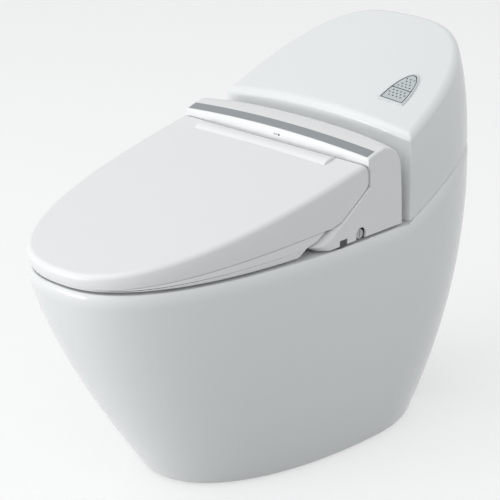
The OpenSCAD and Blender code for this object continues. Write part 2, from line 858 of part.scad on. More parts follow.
module drain_plug() {
    color([0.62, 0.64, 0.66])
        difference() {
            union() {
                cross_bar(unit_w / 2 - 11.6, unit_w / 2 - 2, plug_y, plug_z, plug_r);
                cross_bar(unit_w / 2 - 34, unit_w / 2 - 11.6, plug_y, plug_z, 4.5);
            }
            translate([unit_w / 2 - 4.5, plug_y - 1, plug_z - 5.5])
                cube([5, 2, 11]);
        }
}
module plug_ring() {
    color([0.12, 0.12, 0.13])
        tube_x(unit_w / 2 - 24, unit_w / 2 - 21, plug_y, plug_z, 5.7, 4.5);
}
module plug_socket() {
    color([0.80, 0.81, 0.82])
        tube_x(unit_w / 2 - 36, unit_w / 2 - 14, plug_y, plug_z, 8, 5.75);
}

// Lid
lid_nose = nose_reach - 1;
lid_centre = -58;
lid_edge_r = 7;
lid_low_nose = 5.5;
lid_low_rise = 28;
function lid_low(y) =
    let(u = min(1, max(0, (y + lid_nose) / 385)))
    deck + lid_low_nose + lid_low_rise * (1 - pow(1 - u, 1.5));
function lid_top(x, y) =
    deck + lid_nose_h + (y + lid_nose) * tan(lid_slope) + 3 * (1 - pow(2 * x / lid_w, 2));
function lid_point(t, d) = loop_point(
    t, lid_w / 2 - d, lid_centre, lid_nose + lid_centre - d, 2.48, lid_centre, 24, 20);
function lid_loop(s, d, q) = [for (t = angles())
    let(p = lid_point(t, d), low = lid_low(p.y), high = lid_top(p.x, p.y) - q)
    [p.x, p.y, low + s * (high - low)]];
module lid_solid(d, r, levels, turns, foot) {
    skin(concat(
        foot > 0 ? [lid_loop(-foot, d + 3, 0)] : [],
        [for (i = [0 : levels - 1]) let(s = i / levels) lid_loop(s, d + 3 * pow(1 - s, 2), r)],
        [for (i = [0 : turns]) let(a = 90 * i / turns) lid_loop(1, d + r * (1 - cos(a)), d + r * (1 - sin(a)))],
        [for (i = [1 : 2]) lid_loop(1, d + r + i * 45, d)]));
}
lid_back_r = 22;
module lid_side() {
    polygon(concat(
        [[-700, 300], [-114, 300], [-113.5, deck + 34], [-98.3, deck + 38.6],
            [hinge_y + 15, deck + 74], [hinge_y + 20.5, deck + 80], [hinge_y + 22, deck + 86]],
        [for (a = [0 : 14 : 84]) [hinge_y + lid_back_r * cos(a), hinge_z + lid_back_r * sin(a)]],
        [[hinge_y, 700], [-700, 700]]));
}
ear_x0 = hump_w / 2 + 5.5;
ear_x1 = ear_x0 + 10.5;
ear_r = 11;
module lid() {
    color([0.94, 0.95, 0.95])
        difference() {
            resize([lid_w, 0, 0])
                union() {
                    difference() {
                        intersection() {
                            lid_solid(0, lid_edge_r, 4, 4, 0);
                            across(lid_w + 20)
                                lid_side();
                        }
                        difference() {
                            intersection() {
                                lid_solid(lid_wall, lid_edge_r - lid_wall, 2, 2, 1);
                                across(lid_w + 20) {
                                    offset(delta = -lid_wall)
                                        lid_side();
                                    translate([-700, 200])
                                        square([588, 230]);
                                }
                            }
                            cross_bar(-hump_w / 2 - 1, hump_w / 2 + 1, hinge_y, hinge_z, hump_r + 1 + lid_wall);
                            both()
                                translate([hump_w / 2 + 0.6, hinge_y - 24, 300])
                                    cube([lid_wall, 60, 300]);
                        }
                        cross_bar(-hump_w / 2 - 0.6, hump_w / 2 + 0.6, hinge_y, hinge_z, hump_r + 1);
                        translate([-hump_w / 2 - 0.6, hinge_y, 200])
                            cube([hump_w + 1.2, 100, 400]);
                        block(0, hinge_y - 25, hinge_z - 68, hump_w + 1.2, 90, 60);
                    }
                    both()
                        cross_bar(ear_x1 + 0.8, lid_w / 2 - 2, hinge_y, hinge_z, 12);
                }
            both()
                translate([ear_x0 - 0.8 + (ear_x1 - ear_x0 + 1.6) / 2, 0, 0])
                    across(ear_x1 - ear_x0 + 1.6)
                        polygon(concat([[hinge_y, hinge_z]],
                            [for (a = [212 : 16 : 356]) [hinge_y + 90 * cos(a), hinge_z + 90 * sin(a)]]));
            both()
                cross_bar(ear_x0 - 0.8, ear_x1 + 0.8, hinge_y, hinge_z, ear_r + 1);
            cross_bar(-pin_end - 2, pin_end + 2, hinge_y, hinge_z, pin_r + pin_gap);
        }
}
// Seat ring in two shells, parted along a line between the rim and the lid
seat_in = 1.5;
seat_low = deck + 4;
hole_w = lid_w / 2 - 81;
hole_y = -300;
function seat_split(y) = seat_low + (lid_low(y) - seat_low) * 0.42;
function seat_edge(y) = lid_low(y) - 1.3;
function seat_out(t, d) = loop_point(
    t, lid_w / 2 - seat_in - d, lid_centre, lid_nose + lid_centre - seat_in - d - 1, 2.48, lid_centre, 24, 20);
function seat_hole(t, d) = loop_point(t, hole_w + d, hole_y, 118 + d, 2.3, hole_y, 112 + d, 2.3);
module seat_back() {
    polygon([[-700, 200], [-168, 200], [-168, deck + 16.5], [-149, deck + 21.5],
        [-131, deck + 32], [-116.5, deck + 36.3], [-116.5, 700], [-700, 700]]);
}
module lower_ring() {
    lift = seat_low;
    ring_skin([
        [for (t = angles()) let(p = seat_out(t, 5)) [p.x, p.y, lift]],
        [for (t = angles()) let(p = seat_out(t, 2.5)) [p.x, p.y, (lift + seat_split(p.y)) / 2 - 0.8]],
        [for (t = angles()) let(p = seat_out(t, 2)) [p.x, p.y, seat_split(p.y) - 0.3]],
        [for (t = angles()) let(p = seat_hole(t, 1)) [p.x, p.y, seat_split(p.y) - 0.3]],
        [for (t = angles()) let(p = seat_hole(t, 5)) [p.x, p.y, lift]]]);
}
module upper_ring() {
    top = 7;
    ring_skin([
        [for (t = angles()) let(p = seat_out(t, 2)) [p.x, p.y, seat_split(p.y) + 0.3]],
        [for (t = angles()) let(p = seat_out(t, 2.2)) [p.x, p.y, seat_edge(p.y)]],
        [for (t = angles()) let(p = seat_out(t, 9.5)) [p.x, p.y, seat_edge(p.y) + 0.3 * top]],
        [for (t = angles()) let(p = seat_out(t, 22)) [p.x, p.y, seat_edge(p.y) + 0.8 * top]],
        [for (t = angles()) let(p = seat_hole(t, 26)) [p.x, p.y, seat_edge(p.y) + 0.3 * top]],
        [for (t = angles()) let(p = seat_hole(t, 5)) [p.x, p.y, seat_edge(p.y) - 0.6 * top]],
        [for (t = angles()) let(p = seat_hole(t, 0)) [p.x, p.y, seat_split(p.y) + 3]],
        [for (t = angles()) let(p = seat_hole(t, 1)) [p.x, p.y, seat_split(p.y) + 0.3]]]);
}
module seat_ears() {
    w = ear_x1 - ear_x0;
    both() {
        cross_bar(ear_x0, ear_x1, hinge_y, hinge_z, ear_r);
        across(w, (ear_x0 + ear_x1) / 2)
            polygon([[hinge_y - 3, hinge_z - 10.5], [hinge_y - 10.5, hinge_z + 3],
                [-150, deck + 40], [-150, deck + 24], [-128, deck + 30]]);
    }
}
module seat_top() {
    color([0.94, 0.95, 0.95])
        difference() {
            resize([0, 0, 0])
                union() {
                    intersection() {
                        upper_ring();
                        across(500)
                            seat_back();
                    }
                    seat_ears();
                }
            cross_bar(-pin_end - 2, pin_end + 2, hinge_y, hinge_z, pin_r + pin_gap);
            along_wand()
                translate([0, 0, -60])
                    cylinder(r = hood_r + 1.2, h = 70, $fn = 40);
        }
}
module seat_bottom() {
    color([0.94, 0.95, 0.95])
        difference() {
            intersection() {
                lower_ring();
                across(500)
                    seat_back();
            }
            block(0, -180, deck, 2 * wand_r + 5, 60, 12.6);
        }
}
module seat_bumpers() {
    color([0.80, 0.81, 0.81])
        both() {
            block(lid_w / 2 - 39, -220, deck + 0.3, 12, 34, seat_low - deck - 0.3);
            block(lid_w / 2 - 83, 90 - lid_nose, deck + 0.3, 12, 30, seat_low - deck - 0.3);
        }
}
module lid_bumpers() {
    color([0.80, 0.81, 0.81])
        both()
            disc(60, 46 - lid_nose, deck + 15, 7, 12);
}

// Water and power connections on the unit's hidden side
module hose_inlet() {
    color([0.75, 0.76, 0.78])
        tube_x(-unit_w / 2 - 9, -unit_w / 2 + 5, inlet_y, inlet_z, inlet_r, 5);
}
module cord_gland() {
    color([0.15, 0.15, 0.16])
        tube_x(-unit_w / 2 - 7, -unit_w / 2 + 5, gland_y, gland_z, gland_r, 3.5);
}

ceramic_body();
outlet_gasket();
tank_cover();
flush_bezel();
full_flush_button();
half_flush_button();
flush_actuator();
flush_valve_gasket();
flush_valve_tower();
flush_valve_tube();
flush_valve_seal();
fill_valve();
fill_valve_washer();
fill_valve_nut();
fill_valve_cap();
float_cup();
refill_tube();
unit_cover();
unit_base();
stripe_panel();
indicator_window();
mount_plate();
mount_bolts();
mount_nuts();
heater_tank();
control_board();
board_posts();
wand_sleeve();
spray_wand();
nozzle_tip();
left_damper();
right_damper();
release_button();
drain_plug();
plug_ring();
plug_socket();
lid();
seat_top();
seat_bottom();
seat_bumpers();
lid_bumpers();
hose_inlet();
cord_gland();
indicator_lamp();
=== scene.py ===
from math import atan, cos, hypot, pi, radians, sin, sqrt, tan

import bmesh
import bpy
from mathutils import Matrix, Vector


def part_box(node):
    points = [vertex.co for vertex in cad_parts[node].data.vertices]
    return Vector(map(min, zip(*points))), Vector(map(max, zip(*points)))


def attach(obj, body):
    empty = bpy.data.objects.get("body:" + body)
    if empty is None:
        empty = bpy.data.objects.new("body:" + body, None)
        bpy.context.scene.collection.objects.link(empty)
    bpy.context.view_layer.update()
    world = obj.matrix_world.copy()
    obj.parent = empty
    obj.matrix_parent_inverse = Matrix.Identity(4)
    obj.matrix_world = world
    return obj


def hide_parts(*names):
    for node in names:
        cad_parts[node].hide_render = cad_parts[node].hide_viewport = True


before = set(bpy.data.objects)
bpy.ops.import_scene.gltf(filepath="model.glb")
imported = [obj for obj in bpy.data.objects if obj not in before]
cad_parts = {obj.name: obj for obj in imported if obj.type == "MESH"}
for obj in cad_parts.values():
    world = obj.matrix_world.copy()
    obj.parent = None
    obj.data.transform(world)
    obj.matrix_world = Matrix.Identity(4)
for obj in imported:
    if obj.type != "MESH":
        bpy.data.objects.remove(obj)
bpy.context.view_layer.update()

bl_info = {
    "name": "One-piece toilet looks",
    "version": (1, 0, 0),
    "blender": (4, 5, 0),
    "location": "3D View > Sidebar > Toilet",
    "description": "Smooth shells and finishes for a one-piece toilet with a bidet seat",
    "category": "Add Mesh",
}

MM = 0.001
TURN = 2 * pi


def box_size(node, axis):
    """Size of a CAD node's box along one axis, in millimetres."""
    low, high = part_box(node)
    return (high[axis] - low[axis]) / MM


# Sizes and colours


def length(name, size, description):
    return bpy.props.FloatProperty(
        name=name, description=description, default=size * MM, precision=4, unit="LENGTH")


def angle(name, degrees, description):
    return bpy.props.FloatProperty(
        name=name, description=description, default=radians(degrees), unit="ROTATION")


def colour(name, value, description):
    return bpy.props.FloatVectorProperty(
        name=name, description=description, default=value, size=3, min=0, max=1,
        subtype="COLOR")


def share_of(name, value, description):
    return bpy.props.FloatProperty(
        name=name, description=description, default=value, min=0, max=1, subtype="FACTOR")


def number(name, value, description):
    return bpy.props.FloatProperty(name=name, description=description, default=value)


class BodySizes(bpy.types.PropertyGroup):
    """Sizes of the ceramic body and of the tank cover."""

    body_w: length("Body width", box_size("ceramic_body", 0), "Widest part of the body")
    foot_w: length("Foot width", 300, "Width of the foot on the floor")
    nose_reach: length("Nose reach", 483, "Nose of the rim, forward of the outlet")
    back_reach: length("Back reach", 293, "Back of the body, behind the outlet")
    foot_front: length("Foot front", 290, "Tip of the foot, forward of the outlet")
    foot_back: length("Foot back", 219, "Back of the foot, behind the outlet")
    rim_h: length("Rim height", 366, "Height of the rim and of the deck")
    clay: length("Clay", 12, "Wall thickness of the fired clay")
    tank_front: length("Tank front", 45, "Front face of the tank, behind the outlet")
    tank_face_h: length("Tank face", 134, "Height of the cover's front face")
    tank_slope: angle("Tank slope", 25.2, "Slope of the cover's top and lower edge")
    tank_crown: length("Tank crown", 17, "Rise of the cover's top in its middle")
    cover_wall: length("Cover wall", 6, "Wall thickness of the tank cover")
    tank_floor: length("Tank floor", 216, "Height of the tank's floor")


class SeatSizes(bpy.types.PropertyGroup):
    """Sizes of the bidet unit, the lid and the seat."""

    unit_w: length("Unit width", box_size("unit_cover", 0), "Width across the unit")
    unit_h: length("Unit height", 131, "Rear top edge of the unit above the deck")
    unit_crown: length("Unit crown", 8, "Rise of the unit's top in its middle")
    unit_wall: length("Unit wall", 3, "Wall thickness of the unit's shell")
    lid_w: length("Lid width", box_size("lid", 0), "Width of the lid")
    lid_wall: length("Lid wall", 3.5, "Thickness of the lid's shell")
    lid_nose_h: length("Lid nose", 23, "Lid's top above the deck, at the nose")
    lid_slope: angle("Lid slope", 11.9, "Slope of the lid's top")
    pin_r: length("Pin radius", 6, "Radius of the two hinge pins")


class Finishes(bpy.types.PropertyGroup):
    """Colours of the finishes and of the painted shade in the narrow gaps, and how glossy the
    large ones are.
    """

    glaze: colour("Glaze", (0.80, 0.82, 0.82), "Glazed clay")
    glaze_gloss: share_of("Glaze roughness", 0.2, "Roughness of the glaze")
    shell: colour("Shell", (0.84, 0.85, 0.85), "Gloss plastic of the unit, lid and seat")
    shell_gloss: share_of("Shell roughness", 0.32, "Roughness of the gloss plastic")
    trim: colour("Trim", (0.63, 0.66, 0.67), "Bright frame round the flush buttons")
    button: colour("Buttons", (0.54, 0.58, 0.59), "Flush buttons")
    # Painted shade: a near black put on the walls of the button well, on the buttons' sides
    # and in their dimples, where these narrow gaps would lie in shadow.
    seam: colour("Seams", (0.05, 0.055, 0.06), "Inside of the narrow seams")
    # Painted shadow: a grey put on the top face of the seat's lower shell, in the gap under
    # the upper shell.
    ring_seam: colour("Ring seam", (0.3, 0.31, 0.32), "Inside of the seat ring's seam")
    stripe: colour("Stripe", (0.30, 0.32, 0.335), "Stripe across the unit")
    release: colour("Release button", (0.07, 0.08, 0.085), "Release button")
    plug: colour("Drain plug", (0.56, 0.58, 0.59), "Drain plug")


class StageSettings(bpy.types.PropertyGroup):
    """Camera, lights and floor."""

    azimuth: angle("Azimuth", 44.0, "Camera's turn about the object")
    elevation: angle("Elevation", 20.82, "Camera's height above the horizon")
    distance: length("Distance", 2793.5, "Camera to the point that it looks at")
    lens: number("Lens", 125.4, "Focal length in millimetres")
    key_power: number("Key light", 18.0, "Power of the lamp high in front, in watts")
    front_power: number("Front light", 64.0, "Power of the low lamp in front, in watts")
    sky: number("Sky", 0.72, "Strength of the even light all round")
    floor: colour("Floor", (0.48, 0.485, 0.485), "Floor and backdrop")


SIZE_GROUPS = ("toilet_body", "toilet_seat")


class Shape:
    """The sizes in millimetres, with the ones that follow from them."""

    def read(self, scene):
        for group in SIZE_GROUPS:
            sizes = getattr(scene, group)
            for name in type(sizes).__annotations__:
                value = getattr(sizes, name)
                setattr(self, name, value if name.endswith("_slope") else value / MM)
        self.deck = self.rim_h
        self.unit_low = self.deck + 3
        self.unit_top = self.deck + self.unit_h
        self.hinge = (-65, self.deck + 95.5)
        self.face_y = -41
        self.unit_back = 35
        self.roll = (-42, self.deck + 118.5)
        self.roll_r = 5
        self.hump_r = 21
        self.hump_w = 268
        self.bay = self.hump_w / 2 + 0.6
        self.lid_nose = self.nose_reach - 1


shape = Shape()


# Meshes from loops of points, in millimetres


def solid(points, faces):
    """A closed mesh object with its faces turned outward."""
    mesh = bpy.data.meshes.new("step")
    mesh.from_pydata([tuple(c * MM for c in p) for p in points], [], faces)
    build = bmesh.new()
    build.from_mesh(mesh)
    bmesh.ops.recalc_face_normals(build, faces=build.faces)
    if build.calc_volume(signed=True) < 0:
        bmesh.ops.reverse_faces(build, faces=build.faces)
    build.to_mesh(mesh)
    build.free()
    piece = bpy.data.objects.new("step", mesh)
    bpy.context.scene.collection.objects.link(piece)
    return piece


def skin(loops, inner=None):
    """A closed skin over loops of equal length. Each end is a fan about the loop's mean,
    or about the depth and height given as inner."""
    count = len(loops[0])
    points = [p for loop in loops for p in loop]
    faces = []
    for i in range(len(loops) - 1):
        for j in range(count):
            a, b = i * count + j, i * count + (j + 1) % count
            faces.append((a, b, b + count, a + count))
    for start, loop in ((0, loops[0]), ((len(loops) - 1) * count, loops[-1])):
        middle = len(points)
        mean = tuple(sum(p[k] for p in loop) / count for k in range(3))
        points.append((mean[0], *inner) if inner else mean)
        faces += [(middle, start + j, start + (j + 1) % count) for j in range(count)]
    return solid(points, faces)


def ring_skin(loops):
    """The same, but the last loop joins the first."""
    count, rows = len(loops[0]), len(loops)
    faces = [
        (i * count + j, i * count + (j + 1) % count,
         (i + 1) % rows * count + (j + 1) % count, (i + 1) % rows * count + j)
        for i in range(rows) for j in range(count)]
    return solid([p for loop in loops for p in loop], faces)


def across(outline, low, high):
    """An outline in the Y and Z plane, extruded along X."""
    count = len(outline)
    points = [(x, y, z) for x in (low, high) for y, z in outline]
    faces = [tuple(range(count)), tuple(range(count, 2 * count))]
    faces += [(j, (j + 1) % count, count + (j + 1) % count, count + j)
              for j in range(count)]
    return solid(points, faces)


def block(low, high):
    """A box between two corners."""
    outline = [(low[1], low[2]), (high[1], low[2]), (high[1], high[2]), (low[1], high[2])]
    return across(outline, low[0], high[0])


def tube_rings(path, radius, sides):
    """Rings of points square to a path that lies in one plane."""
    rings = []
    first = None
    for i, p in enumerate(path):
        ahead = Vector(path[min(i + 1, len(path) - 1)])
        along = (ahead - Vector(path[max(i - 1, 0)])).normalized()
        first = first or along.orthogonal().normalized()
        first = (first - along * first.dot(along)).normalized()
        second = along.cross(first)
        rings.append([
            tuple(Vector(p) + radius * (cos(TURN * k / sides) * first
                                        + sin(TURN * k / sides) * second))
            for k in range(sides)])
    return rings


def bar(path, radius, sides=48):
    """A round bar along a path."""
    return skin(tube_rings(path, radius, sides))


def cross_bar(low, high, y, z, radius, sides=72):
    """A round bar along X."""
    return bar([(low, y, z), (high, y, z)], radius, sides)


def upright(x, y, z, radius, height, sides=72):
    """A round bar along Z."""
    return bar([(x, y, z), (x, y, z + height)], radius, sides)


def settle(piece):
    """Applies a piece's modifiers to its mesh."""
    bpy.context.view_layer.update()
    made = piece.evaluated_get(bpy.context.evaluated_depsgraph_get())
    mesh = bpy.data.meshes.new_from_object(made)
    if not mesh.polygons:
        raise RuntimeError(f"{piece.name}: nothing is left of it")
    piece.modifiers.clear()
    piece.data = mesh


def combine(piece, how, others):
    """Cuts, joins or intersects a piece with others, which are used up."""
    for other in others:
        step = piece.modifiers.new("step", "BOOLEAN")
        step.operation = how
        step.solver = "MANIFOLD"
        step.object = other
        settle(piece)
        bpy.data.objects.remove(other)
    return piece


def cut(piece, *others):
    return combine(piece, "DIFFERENCE", others)


def join(piece, *others):
    return combine(piece, "UNION", others)


def common(piece, *others):
    return combine(piece, "INTERSECT", others)


def mirrored(piece):
    """The same piece on the other side of the middle plane."""
    mesh = piece.data.copy()
    mesh.transform(Matrix.Scale(-1, 4, (1, 0, 0)))
    mesh.flip_normals()
    twin = bpy.data.objects.new(piece.name + "_twin", mesh)
    bpy.context.scene.collection.objects.link(twin)
    return twin


def both(piece):
    return join(piece, mirrored(piece))


def place(piece, matrix):
    """Moves a piece's mesh by a matrix whose shift is in millimetres."""
    moved = matrix.copy()
    moved.translation = matrix.translation * MM
    piece.data.transform(moved)
    return piece


def finish_piece(piece, name, node, body, material, crease=32):
    """Smooth shading, material and place in the frame for a finished piece."""
    piece.name = name
    piece.data.polygons.foreach_set("use_smooth", [True] * len(piece.data.polygons))
    piece.data.set_sharp_from_angle(angle=radians(crease))
    flat = piece.modifiers.new("flat faces lead", "WEIGHTED_NORMAL")
    flat.keep_sharp = True
    settle(piece)
    piece.data.name = name
    piece.data.materials.clear()
    piece.data.materials.append(material)
    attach(piece, body)
    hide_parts(node)
    return piece


def paint(piece, material, test):
    """Gives another material, here painted shade, to the faces whose middle and normal pass a
    test.
    """
    piece.data.materials.append(material)
    for face in piece.data.polygons:
        if test(face.center / MM, face.normal):
            face.material_index = len(piece.data.materials) - 1


# Outlines shared by the body and the tank cover


def bulge(t, power):
    return (abs(cos(t)) ** power + abs(sin(t)) ** power) ** (-1 / power)


def loop_point(t, w, front_y, front, front_n, rear_y, rear, rear_n):
    """A point of a loop: half width w, with its own reach and power to each side."""
    if sin(t) < 0:
        k = bulge(t, front_n)
        return w * k * cos(t), front_y + front * k * sin(t)
    k = bulge(t, rear_n)
    return w * k * cos(t), rear_y + rear * k * sin(t)


def turns(count):
    return [(i + 0.5) * TURN / count for i in range(count)]


def spread(low, high, count):
    """Evenly spaced values with both ends in."""
    return [low + (high - low) * i / (count - 1) for i in range(count)]


def quarter(count):
    """Angles over a quarter turn."""
    return spread(0, pi / 2, count)


def rolled(loop, inset, radius, count):
    """Loops that round the upper edge of a form: each lies further in and higher."""
    return [loop(1, inset + radius * (1 - cos(a)), inset + radius * (1 - sin(a)))
            for a in quarter(count)]


# The body is widest at BELLY_Z and reaches furthest back at BACK_Z. Above each height it
# draws in by a depth, over a height, with a power.
BELLY_Z = 310
BELLY_ABOVE = (62, 320, 3.7)
BACK_Z = 380
BACK_ABOVE = (27.5, 250, 1.5)
NOSE_POWER = 1.33
# Middle and power of the front and rear halves of a loop, at the foot, and their growth
# up to the rim
FRONT_MIDDLE, FRONT_POWER = (38, -10), (2.19, 0.36)
REAR_MIDDLE, REAR_POWER = (38, 22), (2.05, 0.57)
REAR_POWER_ABOVE = (0.6, 200)
STEPS = 224


def drawn_in(z, level, foot, depth, height, power):
    """How far a side is drawn in at the height z: by foot at the floor, and above level
    by depth over a height."""
    if z < level:
        return foot * ((level - z) / level) ** 2
    return depth * ((z - level) / height) ** power


def half_w(z):
    """Half of the body's width at the height z."""
    s = shape
    return s.body_w / 2 - drawn_in(z, BELLY_Z, (s.body_w - s.foot_w) / 2, *BELLY_ABOVE)


def back_y(z):
    s = shape
    return s.back_reach - drawn_in(z, BACK_Z, s.back_reach - s.foot_back, *BACK_ABOVE)


def nose_y(z):
    s = shape
    low = (1 - min(z, s.rim_h) / s.rim_h) ** NOSE_POWER
    return -s.nose_reach + (s.nose_reach - s.foot_front) * low


def height_share(z):
    return min(max(z / shape.rim_h, 0), 1)


def grown(start, z):
    """A value at the foot, with its growth up to the height z."""
    return start[0] + start[1] * height_share(z)


def rear_half(z, inset):
    """Middle, reach and power of the rear half of a loop."""
    middle = grown(REAR_MIDDLE, z)
    depth, height = REAR_POWER_ABOVE
    return (middle, back_y(z) - middle - inset,
            grown(REAR_POWER, z) + depth * (max(z - shape.rim_h, 0) / height) ** 2)


def body_point(t, z, inset):
    front = grown(FRONT_MIDDLE, z)
    return loop_point(
        t, half_w(z) - inset, front, front - nose_y(z) - inset, grown(FRONT_POWER, z),
        *rear_half(z, inset))


def part_z(y):
    """Height of the parting plane between the body and the tank cover."""
    return shape.rim_h + max(0, y - shape.tank_front) * tan(shape.tank_slope)


def body_loop(s, inset, drop):
    """A loop at the share s of the body's height under the parting plane."""
    loop = []
    for t in turns(STEPS):
        z = 100
        for _ in range(5):
            z = s * part_z(body_point(t, z, inset)[1]) - drop
        loop.append((*body_point(t, z, inset), z))
    return loop


FOOT_R = 9
RIM_IN = 9
RIM_DROP = 22.4
RIM_PROUD = 0.4
# Where forms that only cut end: in front, behind, above and beside the whole object
FRONT_END, REAR_END, TOP_END, WIDE = -600, 400, 900, 300


def body_outside():
    """The body without its openings, cut off by the parting plane later."""
    return skin(
        [body_loop(0, FOOT_R * (1 - sin(a)), -FOOT_R * (1 - cos(a))) for a in quarter(7)]
        + [body_loop(s, 0, 0) for s in spread(0.05, 0.93, 28)]
        + [body_loop(1, RIM_IN * (1 - cos(a)), RIM_DROP * (1 - sin(a)) - RIM_PROUD)
           for a in quarter(13)]
        + [body_loop(1, RIM_IN + 14, -7)])


def above_deck():
    s = shape
    return across(
        [(FRONT_END, s.rim_h), (s.tank_front, s.rim_h), (REAR_END, part_z(REAR_END)),
         (REAR_END, TOP_END), (FRONT_END, TOP_END)], -s.body_w, s.body_w)


# Height, size and shift toward the sump of each level of the bowl
BOWL_LEVELS = (
    (30, 1, 0), (-30, 1, 0), (-36, 1.05, 0), (-42, 1.08, 0), (-56, 1.08, 0.01),
    (-70, 1.05, 0.03), (-92, 0.98, 0.09), (-116, 0.88, 0.16), (-141, 0.775, 0.25),
    (-166, 0.66, 0.36), (-191, 0.545, 0.49), (-216, 0.43, 0.62), (-236, 0.36, 0.72),
    (-254, 0.30, 0.80), (-278, 0.18, 0.9))
BOWL_W = 121
BOWL_Y = (-446, -157)
BOWL_POWER = 2.25
SUMP_Y = -262


def bowl(grow):
    """The bowl's inside, grown by its clay below the mouth."""
    loops = []
    for i, (up, size, shift) in enumerate(BOWL_LEVELS):
        middle = (BOWL_Y[0] + BOWL_Y[1]) / 2 * (1 - shift) + SUMP_Y * shift
        half = (BOWL_Y[1] - BOWL_Y[0]) / 2 * size + grow
        z = shape.rim_h + up - (grow if i > 1 else 0)
        loops.append([
            (*loop_point(t, BOWL_W * size + grow, *(middle, half, BOWL_POWER) * 2), z)
            for t in turns(128)])
    return skin(loops)


TRAP_R, TRAP_CLAY = 27, 11
TRAP_BEND = 50
TRAP_Z = 180
TRAP_RISE = radians(35)
TRAP_RUN = 198


def trap(radius, foot):
    """The water way: up from the sump, over the weir and down to the outlet."""
    arc = [a * (pi / 2 + TRAP_RISE) for a in spread(0, 1, 21)]
    path = [(0, 0, foot), (0, 0, TRAP_Z - 1)]
    path += [(0, -TRAP_BEND + TRAP_BEND * cos(a), TRAP_Z + TRAP_BEND * sin(a)) for a in arc]
    end = Vector(path[-1]) + TRAP_RUN * Vector((0, -cos(TRAP_RISE), -sin(TRAP_RISE)))
    return bar(path + [tuple(end)], radius, 64)


VALVE = (112, 128)
FILL = (-92, 122)
FILL_HOLE_R = 14
CHAMBER_R, CHAMBER_H = 31, 51
PASSAGE_R, PASSAGE_CLAY = 17, 10


def passage(grow):
    """The way of the flush: a chamber under the valve and a pipe to the bowl."""
    s = shape
    low = s.tank_floor - s.clay - 38 - grow
    run = s.tank_floor - 32
    return join(
        upright(*VALVE, low, CHAMBER_R + grow, CHAMBER_H),
        bar([(*VALVE, run), (44, BOWL_Y[1] - 62, run)], PASSAGE_R + grow))


# How far the tank's front wall stands behind the cover's face
TANK_WALL_IN = 5
TANK_TOP = 500
# Where the blocks that shape the tank end, behind it and above it
TANK_END = (600, 700)


def tank_cavity():
    s = shape
    loops = [[(*body_point(t, z, s.clay), z) for t in turns(STEPS)]
             for z in spread(s.tank_floor, TANK_TOP, 12)]
    return common(
        skin(loops), block((-WIDE, s.tank_front + TANK_WALL_IN + s.clay, 0),
                           (WIDE, *TANK_END)))


# The lugs of the floor bolts, and the clay that is added at their height
LUG_H, LUG_R = 20, 20
FOOT_CLAY = 6
BOLT = (105, 40)
BOLT_HOLE_R = 6
SEAT_BOLT = (70, -8)
SEAT_BOLT_HOLE_R = 7
REAR_OPENING = ((-95, 150, -1), (95, 450, 171))


def body_hollow():
    """The hollow of the skirt, narrower between the bolt lugs."""
    s = shape
    levels = [-5, LUG_H - 1, LUG_H, *range(45, 321, 25), s.rim_h - s.clay - 2]
    return skin([
        [(*body_point(t, max(z, 0), s.clay + (FOOT_CLAY if z < LUG_H else 0)), z)
         for t in turns(STEPS)] for z in levels])


def ceramic_body():
    """The body with its hollow, bowl, trap, flush passage, tank and bolt holes."""
    s = shape
    lug = join(
        upright(*BOLT, 0, LUG_R, LUG_H),
        block((BOLT[0], BOLT[1] - LUG_R, 0),
              (s.foot_w / 2 - s.clay + 1.5, BOLT[1] + LUG_R, LUG_H)))
    hollow = cut(
        body_hollow(), bowl(s.clay - 1), trap(TRAP_R + TRAP_CLAY, 0),
        passage(PASSAGE_CLAY), both(lug),
        block((-WIDE, s.tank_front + TANK_WALL_IN, s.tank_floor - s.clay),
              (WIDE, *TANK_END)))
    return cut(
        body_outside(), above_deck(), hollow, bowl(0), trap(TRAP_R, -1), passage(0),
        tank_cavity(), block(*REAR_OPENING),
        both(upright(*SEAT_BOLT, s.rim_h - 40, SEAT_BOLT_HOLE_R, 60)),
        both(upright(*BOLT, -1, BOLT_HOLE_R, LUG_H + 2)),
        upright(*FILL, s.tank_floor - s.clay - 5, FILL_HOLE_R, s.clay + 10))


# Tank cover and flush buttons

COVER_GAP = 1
REAR_GAP = 3.4
COVER_R = 10
FACE_LEAN = 0.02
FACE_POWER = 13
TUCK = 6
TUCK_END, TUCK_RUN = 250, 120
CAP_Y = 165


def cover_point(t, z, inset):
    s = shape
    face = s.tank_front + FACE_LEAN * (s.rim_h + s.tank_face_h - z)
    rear = rear_half(z, inset)
    return loop_point(
        t, half_w(z) - inset, rear[0], rear[0] - face - inset, FACE_POWER, *rear)


def top_z(x, y):
    """Height of the cover's sloped and crowned top."""
    s = shape
    return (s.rim_h + s.tank_face_h + (y - s.tank_front) * tan(s.tank_slope)
            + s.tank_crown * (1 - (2 * x / s.body_w) ** 2))


def cover_loop(s, inset, drop):
    """A loop at the share s of the cover's height, tucked in low at the sides."""
    loop = []
    for t in turns(STEPS):
        z = 480
        tucked = inset
        for _ in range(6):
            x, y = cover_point(t, z, tucked)
            low = part_z(y) + COVER_GAP
            z = low + s * (top_z(x, y) - low) - drop
            tucked = inset + TUCK * (1 - s) * min(1, max(0, (TUCK_END - y) / TUCK_RUN))
        x, y = cover_point(t, z, tucked)
        loop.append((x, cover_point(t, z, inset)[1], z))
    return loop


def cover_cap(factor, inset, drop):
    """A loop of the cover's top, shrunk towards the middle."""
    loop = []
    for px, py, _ in cover_loop(1, inset, drop):
        x, y = px * factor, CAP_Y + (py - CAP_Y) * factor
        loop.append((x, y, top_z(x, y) - drop))
    return loop


def cover_solid(inset, radius, foot):
    """The cover's outside, or its inside where it is drawn in, with a foot below it."""
    return skin(
        [cover_loop(0, inset, foot)]
        + [cover_loop(s, inset, 0) for s in spread(0.06, 0.9, 14)]
        + rolled(cover_loop, inset, radius, 13)
        + [cover_cap(f, inset + radius, inset) for f in spread(0.94, 0.1, 12)])


